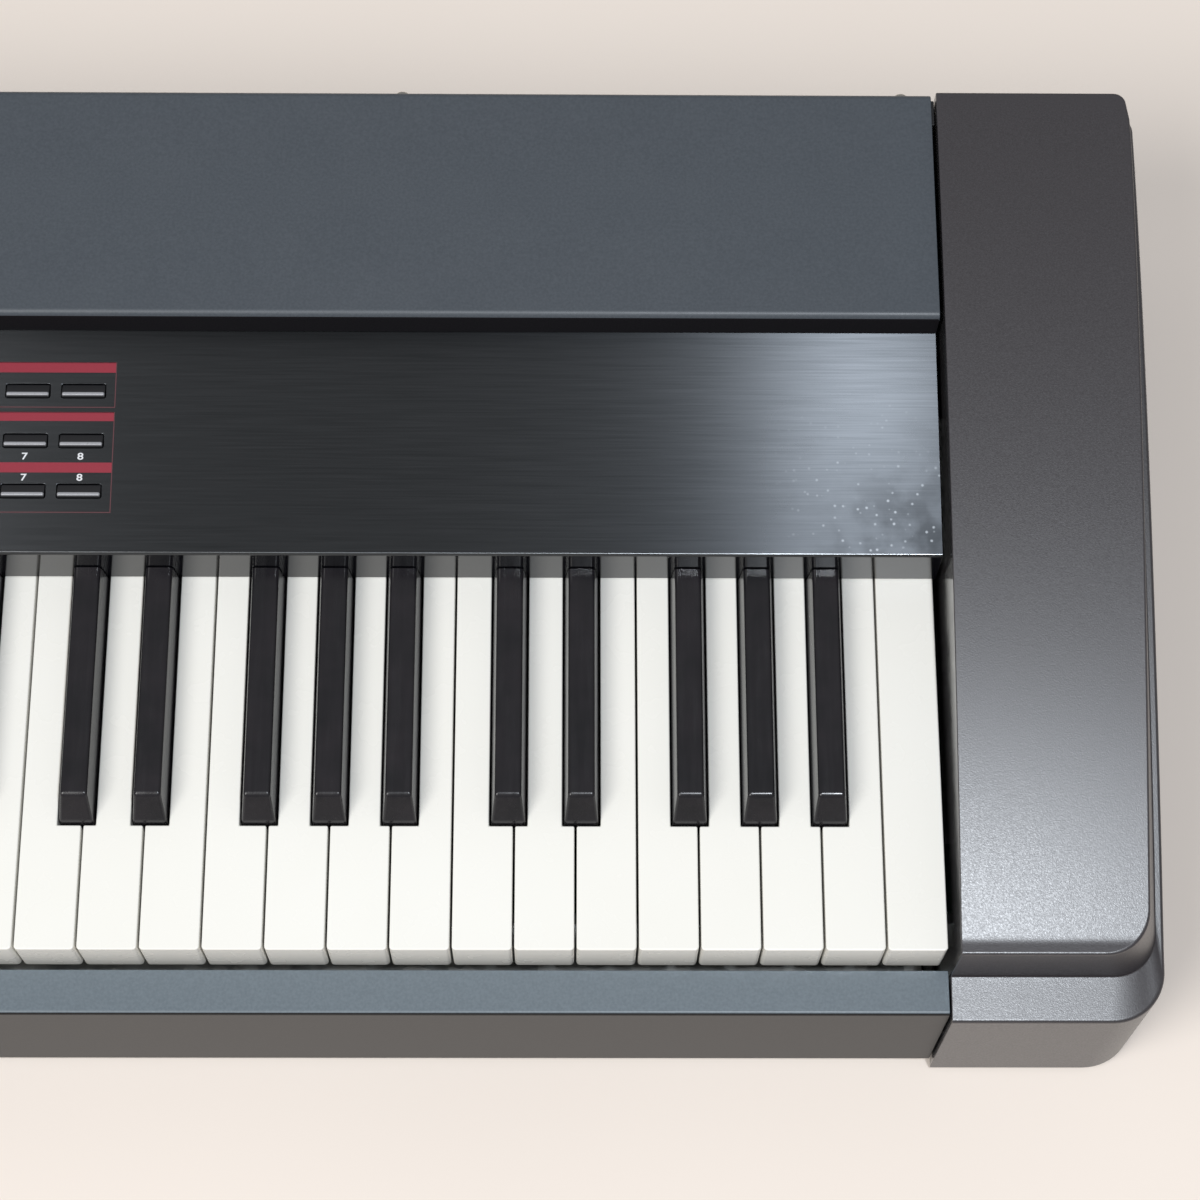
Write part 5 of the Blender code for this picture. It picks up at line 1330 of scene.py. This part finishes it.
# %% Rear wall, sockets and inlet
PLATE_EDGE = 0.3 * MM
JACK_COUNT = 5
JACK_SPACING = 26 * MM
JACKS_X = 60 * MM
JACK_HOLE_RADIUS = 3.7 * MM
NUT_HOLE_RADIUS = 3.8 * MM
NUT_RADIUS = 6.4 * MM
NUT_HEIGHT = 1.6 * MM
COLLAR_RADIUS = 5.2 * MM
COLLAR_HEIGHT = 2.8 * MM
COLLAR_CUT = 0.4 * MM
DIN_COUNT = 3
DIN_SPACING = 28 * MM
DIN_RADIUS = 7.4 * MM
DIN_DEPTH = 6 * MM
DIN_SET_BACK = 0.1 * MM
DIN_CUT = 0.5 * MM
PIN_RADIUS = 0.9 * MM
PIN_TIP_RADIUS = 0.55 * MM
PIN_DEPTH = 1 * MM
PIN_SHOULDER = 0.12 * MM
PIN_LIFT = 0.2 * MM
PIN_EDGE = 0.12 * MM
PIN_CIRCLE = 4.6 * MM
PIN_TURNS = (0, 45, 90, 135, 180)
BUSH_HOLE_RADIUS = 7.6 * MM
BUSH_RADIUS = 8.7 * MM
BUSH_HEIGHT = 0.7 * MM
INLET_FLANGE = 4 * MM
INLET_WALL = 2.5 * MM
INLET_SOCKET_WIDTH = 24.5 * MM
BLADE_WIDTH = 2 * MM
BLADE_HEIGHT = 4 * MM
BLADE_SPAN = (16 * MM, 5 * MM)
BLADE_PLACES = ((-7 * MM, -2 * MM), (0, 2 * MM), (7 * MM, -2 * MM))
TO_REAR = Matrix.Rotation(-math.pi / 2, 4, "X")
plate_low, plate_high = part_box("jack_plate")
jack_z = (plate_low.z + plate_high.z) / 2
inlet_low, inlet_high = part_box("power_inlet")

for node, finish, slot in (
    ("base_tray", BLACK_STEEL, "black_steel"), ("jack_plate", BLACK_STEEL, "black_steel"),
    ("power_inlet", SOCKET, "socket_plastic"), ("power_switch", SOCKET, "socket_plastic"),
):
    body = node if node in frame["bodies"] else "case"
    piece(f"dressed_{node}", rounded(merged_copy(node), PLATE_EDGE), finish, body, slot, node)


def jack_collar():
    """A hexagon nut with a rounded collar and a hole."""
    shape = bmesh.new()
    nut = [
        (NUT_HOLE_RADIUS, 0), (NUT_RADIUS, 0), (NUT_RADIUS, NUT_HEIGHT), (NUT_HOLE_RADIUS, NUT_HEIGHT),
    ]
    turned(shape, nut, 6, hole=True)
    collar = [
        (JACK_HOLE_RADIUS, 0), (COLLAR_RADIUS, 0), (COLLAR_RADIUS, COLLAR_HEIGHT - COLLAR_CUT),
        (COLLAR_RADIUS - COLLAR_CUT, COLLAR_HEIGHT), (JACK_HOLE_RADIUS, COLLAR_HEIGHT),
    ]
    turned(shape, collar, 40, hole=True)
    return rounded(keep(shape, "jack_collar"), PLATE_EDGE)


def din_insert():
    """The insulator of a round socket, a little below the plate."""
    shape = bmesh.new()
    turned(shape, [
        (DIN_RADIUS, -DIN_DEPTH), (DIN_RADIUS, -DIN_SET_BACK - DIN_CUT),
        (DIN_RADIUS - DIN_CUT, -DIN_SET_BACK),
    ])
    return keep(shape, "din_insert")


def din_contacts():
    """Five contacts on a half circle, and the bush round the socket."""
    pin = bmesh.new()
    turned(pin, [(PIN_RADIUS, -PIN_DEPTH), (PIN_RADIUS, PIN_SHOULDER), (PIN_TIP_RADIUS, PIN_LIFT)], 16)
    pin = keep(pin, "pin")
    shape = bmesh.new()
    for turn in PIN_TURNS:
        angle = math.radians(turn)
        x, y = PIN_CIRCLE * math.cos(angle), PIN_CIRCLE * math.sin(angle)
        shape.from_mesh(moved_copy(pin, x, y))
    turned(shape, [
        (BUSH_HOLE_RADIUS, 0), (BUSH_RADIUS, 0), (BUSH_RADIUS, BUSH_HEIGHT),
        (BUSH_HOLE_RADIUS, BUSH_HEIGHT),
    ], hole=True)
    return rounded(keep(shape, "din_contacts"), PIN_EDGE)


def along_rear(mesh, x, count, step, finish):
    """Turns a small part to face the rear and repeats it along the jack plate."""
    stand = Matrix.Translation((x, plate_high.y, jack_z)) @ TO_REAR
    return grow(place(mesh, stand), ROW, Count=count, Step=(step, 0.0, 0.0), Finish=finish)


din_x = JACKS_X - JACK_SPACING
collars = along_rear(jack_collar(), JACKS_X, JACK_COUNT, JACK_SPACING, NICKEL)
piece("jack_collars", collars, NICKEL, "case", "plated_steel")
inserts = along_rear(din_insert(), din_x, DIN_COUNT, -DIN_SPACING, SOCKET)
piece("din_inserts", inserts, SOCKET, "case", "socket_plastic")
contacts = along_rear(din_contacts(), din_x, DIN_COUNT, -DIN_SPACING, NICKEL)
piece("din_contacts", contacts, NICKEL, "case", "plated_steel")

blades = bmesh.new()
socket_x = inlet_high.x - INLET_FLANGE - INLET_WALL - INLET_SOCKET_WIDTH / 2
inlet_z = (inlet_low.z + inlet_high.z) / 2
blade_back, blade_front = [inlet_high.y - depth for depth in BLADE_SPAN]
for across, up in BLADE_PLACES:
    x, z = socket_x + across, inlet_z + up
    add_bar(
        blades, (x - BLADE_WIDTH / 2, blade_back, z - BLADE_HEIGHT / 2),
        (x + BLADE_WIDTH / 2, blade_front, z + BLADE_HEIGHT / 2),
    )
piece("inlet_blades", rounded(keep(blades, "blades"), PLATE_EDGE), NICKEL, "case", "plated_steel")
print("rear sockets:", JACK_COUNT + DIN_COUNT)

# %% [markdown]
# Screws hold the sheets. A tree sets a screw head on each point of a list. It faces the heads the
# given way and turns each cross by a random angle, with a fixed seed, because no assembler lines
# the crosses up.

# %% Screws
SCREW_RADIUS = 3 * MM
SCREW_RISE = 1.5 * MM
CROSS = 0.9 * MM
CROSS_REACH = 1.8 * MM
SCREW_SEED = 7
SCREW_STEP = 200 * MM
TRAY_SCREW_INSET = 30 * MM
PLATE_SCREW_INSET = 3 * MM
PLATE_SET_IN = 1.8 * MM
TO_BACK, DOWN = (-math.pi / 2, 0.0, 0.0), (math.pi, 0.0, 0.0)

SCREWS, screws_in, screws_out = new_tree("screws on points", {
    "Head": "NodeSocketObject", "Facing": "NodeSocketVector", "Seed": "NodeSocketInt",
    "Finish": "NodeSocketMaterial",
})
given = screws_in.outputs
head = tree_node(SCREWS, "GeometryNodeObjectInfo", {"Object": given["Head"]})
chance = tree_node(SCREWS, "FunctionNodeRandomValue", {"Seed": given["Seed"]}, data_type="FLOAT")
turn = tree_node(
    SCREWS, "ShaderNodeMath", {0: chance.outputs["Value"], 1: math.pi}, operation="MULTIPLY",
)
about = tree_node(SCREWS, "ShaderNodeCombineXYZ", {"Z": turn.outputs["Value"]})
set_heads = tree_node(SCREWS, "GeometryNodeInstanceOnPoints", {
    "Points": given["Geometry"], "Instance": head.outputs["Geometry"], "Rotation": given["Facing"],
})
driven = tree_node(SCREWS, "GeometryNodeRotateInstances", {
    "Instances": set_heads.outputs["Instances"], "Rotation": about.outputs["Vector"],
    "Local Space": True,
})
solid = tree_node(SCREWS, "GeometryNodeRealizeInstances", {"Geometry": driven.outputs["Instances"]})
plated = tree_node(SCREWS, "GeometryNodeSetMaterial", {
    "Geometry": solid.outputs["Geometry"], "Material": given["Finish"],
})
SCREWS.links.new(plated.outputs["Geometry"], screws_out.inputs["Geometry"])


def screw_head():
    """A domed head with a cross recess."""
    turns = [math.pi / 2 * step / 6 for step in range(6)]
    curve = [(SCREW_RADIUS * math.cos(a), SCREW_RISE * math.sin(a)) for a in turns]
    dome = bmesh.new()
    turned(dome, [(SCREW_RADIUS, -SCREW_RISE / 2), *curve], 24)
    arm = [(CROSS_REACH, -CROSS / 2), (CROSS_REACH, CROSS / 2), (CROSS / 2, CROSS / 2)]
    quarters = ((1, 0), (0, 1), (-1, 0), (0, -1))
    outline = [(x * cos - y * sin, x * sin + y * cos) for cos, sin in quarters for x, y in arm]
    cross = bmesh.new()
    add_prism(cross, outline, SCREW_RISE * 0.3, SCREW_RISE * 2)
    return cut_sheet(keep(dome, "screw_head"), keep(cross, "cross"))


def screws(name, points, facing):
    """Screws at these points, facing one way, on the case."""
    head_holder = new_object("screw_head", head_mesh)
    cloud = bpy.data.meshes.new(name)
    cloud.from_pydata(points, [], [])
    made = grow(cloud, SCREWS, Head=head_holder, Facing=facing, Seed=SCREW_SEED, Finish=NICKEL)
    bpy.data.objects.remove(head_holder)
    return piece(name, made, NICKEL, "case", "plated_steel")


head_mesh = screw_head()
head_mesh.shade_smooth()
head_mesh.set_sharp_from_angle(angle=EDGE_ANGLE)
screw_xs = [number * SCREW_STEP for number in range(-3, 4)]
tray_ys = (tray_low.y + TRAY_SCREW_INSET, 0, tray_high.y - TRAY_SCREW_INSET)
plate_xs = (plate_low.x + PLATE_SCREW_INSET, plate_high.x - PLATE_SCREW_INSET)
plate_zs = (plate_low.z + PLATE_SCREW_INSET, plate_high.z - PLATE_SCREW_INSET)
cover_screws = [(x, cover_high.y, cover_rear_top - COVER_FLANGE / 2) for x in screw_xs]
tray_screws = [(x, y, tray_low.z) for x in screw_xs for y in tray_ys]
plate_screws = [(x, plate_high.y + PLATE_SET_IN, z) for x in plate_xs for z in plate_zs]
screws("cover_screws", cover_screws, TO_BACK)
screws("plate_screws", plate_screws, TO_BACK)
screws("tray_screws", tray_screws, DOWN)
print("screws:", len(cover_screws) + len(plate_screws) + len(tray_screws))

# %% [markdown]
# The feet are turned rubber with a recess for their screw. The boards, the power supply, the key
# frame and the socket block are seen only with the casing open, so they keep their CAD meshes and
# get real finishes.

# %% Feet and inner parts
FOOT_NODES = ("foot_front_left", "foot_front_right", "foot_rear_left", "foot_rear_right")
foot_low, foot_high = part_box(FOOT_NODES[0])
FOOT_RADIUS = (foot_high.x - foot_low.x) / 2
FOOT_TOP = foot_high.z
FOOT_HOLE_RADIUS = 5 * MM
FOOT_HOLE_FLOOR = 2.5 * MM
FOOT_LIP = ((5 * MM, 0.6 * MM), (6 * MM, 0), (13 * MM, 0), (14 * MM, 0.5 * MM), (14.6 * MM, 1.5 * MM))
FOOT_BAND = 1 * MM
foot_shape = bmesh.new()
foot_profile = [
    (FOOT_HOLE_RADIUS, FOOT_HOLE_FLOOR), *FOOT_LIP, (FOOT_RADIUS, FOOT_TOP - FOOT_BAND),
    (FOOT_RADIUS, FOOT_TOP), (FOOT_HOLE_RADIUS, FOOT_TOP),
]
turned(foot_shape, foot_profile, hole=True)
turned(foot_shape, [(FOOT_HOLE_RADIUS, FOOT_HOLE_FLOOR), (FOOT_HOLE_RADIUS, FOOT_TOP)], 32)
foot_mesh = rounded(keep(foot_shape, "foot"), PLATE_EDGE)
feet = []
for node in FOOT_NODES:
    low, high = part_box(node)
    feet.append(moved_copy(foot_mesh, (low.x + high.x) / 2, (low.y + high.y) / 2))
piece("dressed_feet", joined("feet", feet), RUBBER, "case", "foot_rubber", *FOOT_NODES)

INNER_FINISHES = {
    "keybed_frame": ZINC, "power_supply": ZINC, "contact_board": BOARD, "main_board": BOARD,
    "panel_board": BOARD, "display_module": BLACK_STEEL, "jack_block": SOCKET,
}
for node, finish in INNER_FINISHES.items():
    inner = frame["nodes"][node].data
    inner.materials.clear()
    inner.materials.append(finish)
print("inner parts finished")

# %% [markdown]
# The studio is a pale floor in a softly lit room, with a wide softbox on the left and one small
# bright softbox on the right. The small one is what the block's front, the panel's right end and
# the ridges of the black keys mirror. The camera stands high in front and looks down at the
# right-hand octaves.

# %% Studio
ROOM_LIGHT = 0.3
ROOM_COLOUR = (1.0, 0.99, 0.98, 1.0)
FLOOR_COLOUR = (0.89, 0.80, 0.725)
FLOOR_DULL = 0.97
FLOOR_REACH = 6.0
LAMP_AIM = Vector((0.45, -0.05, 0.1))
CAMERA_PLACE = (0.4660, -0.4226, 1.1863)
CAMERA_TURNS = (20.409, -0.677, -0.084)
CAMERA_LENS = 88.8
CAMERA_SENSOR = 36.0
LAMPS = {
    "small_softbox": ((0.79, -0.55, 2.1), 0.15, 20.5, (0.88, 0.935, 1.0)),
    "side_softbox": ((-1.15, -1.35, 2.8), 1.7, 62.0, (1.0, 0.99, 0.97)),
}

floor_mesh = bpy.data.meshes.new("studio_floor")
corners = [(x * FLOOR_REACH, y * FLOOR_REACH, 0) for x, y in ((-1, -1), (1, -1), (1, 1), (-1, 1))]
floor_mesh.from_pydata(corners, [], [(0, 1, 2, 3)])
FLOOR = start_finish("studio_floor", FLOOR_COLOUR, 0.7)
mottle(FLOOR, 3.0, FLOOR_COLOUR, tuple(FLOOR_DULL * part for part in FLOOR_COLOUR))
floor_mesh.materials.append(FLOOR)
floor = new_object("studio_floor", floor_mesh)

world = bpy.data.worlds.new("studio")
bpy.context.scene.world = world
world.use_nodes = True
room = world.node_tree.nodes["Background"]
room.inputs["Color"].default_value = ROOM_COLOUR
room.inputs["Strength"].default_value = ROOM_LIGHT

for name, (place_of_lamp, size, power, colour) in LAMPS.items():
    light = bpy.data.lights.new(name, "AREA")
    light.shape = "DISK"
    light.size = size
    light.energy = power
    light.color = colour
    lamp = new_object(name, light)
    lamp.location = place_of_lamp
    aim = LAMP_AIM - Vector(place_of_lamp)
    lamp.rotation_euler = aim.to_track_quat("-Z", "Y").to_euler()

camera_data = bpy.data.cameras.new("portrait")
camera_data.lens = CAMERA_LENS
camera_data.sensor_width = CAMERA_SENSOR
camera = new_object("portrait", camera_data)
camera.location = CAMERA_PLACE
camera.rotation_euler = [math.radians(turn) for turn in CAMERA_TURNS]
bpy.context.scene.camera = camera
bpy.context.scene.view_settings.view_transform = "Standard"
print("studio ready")
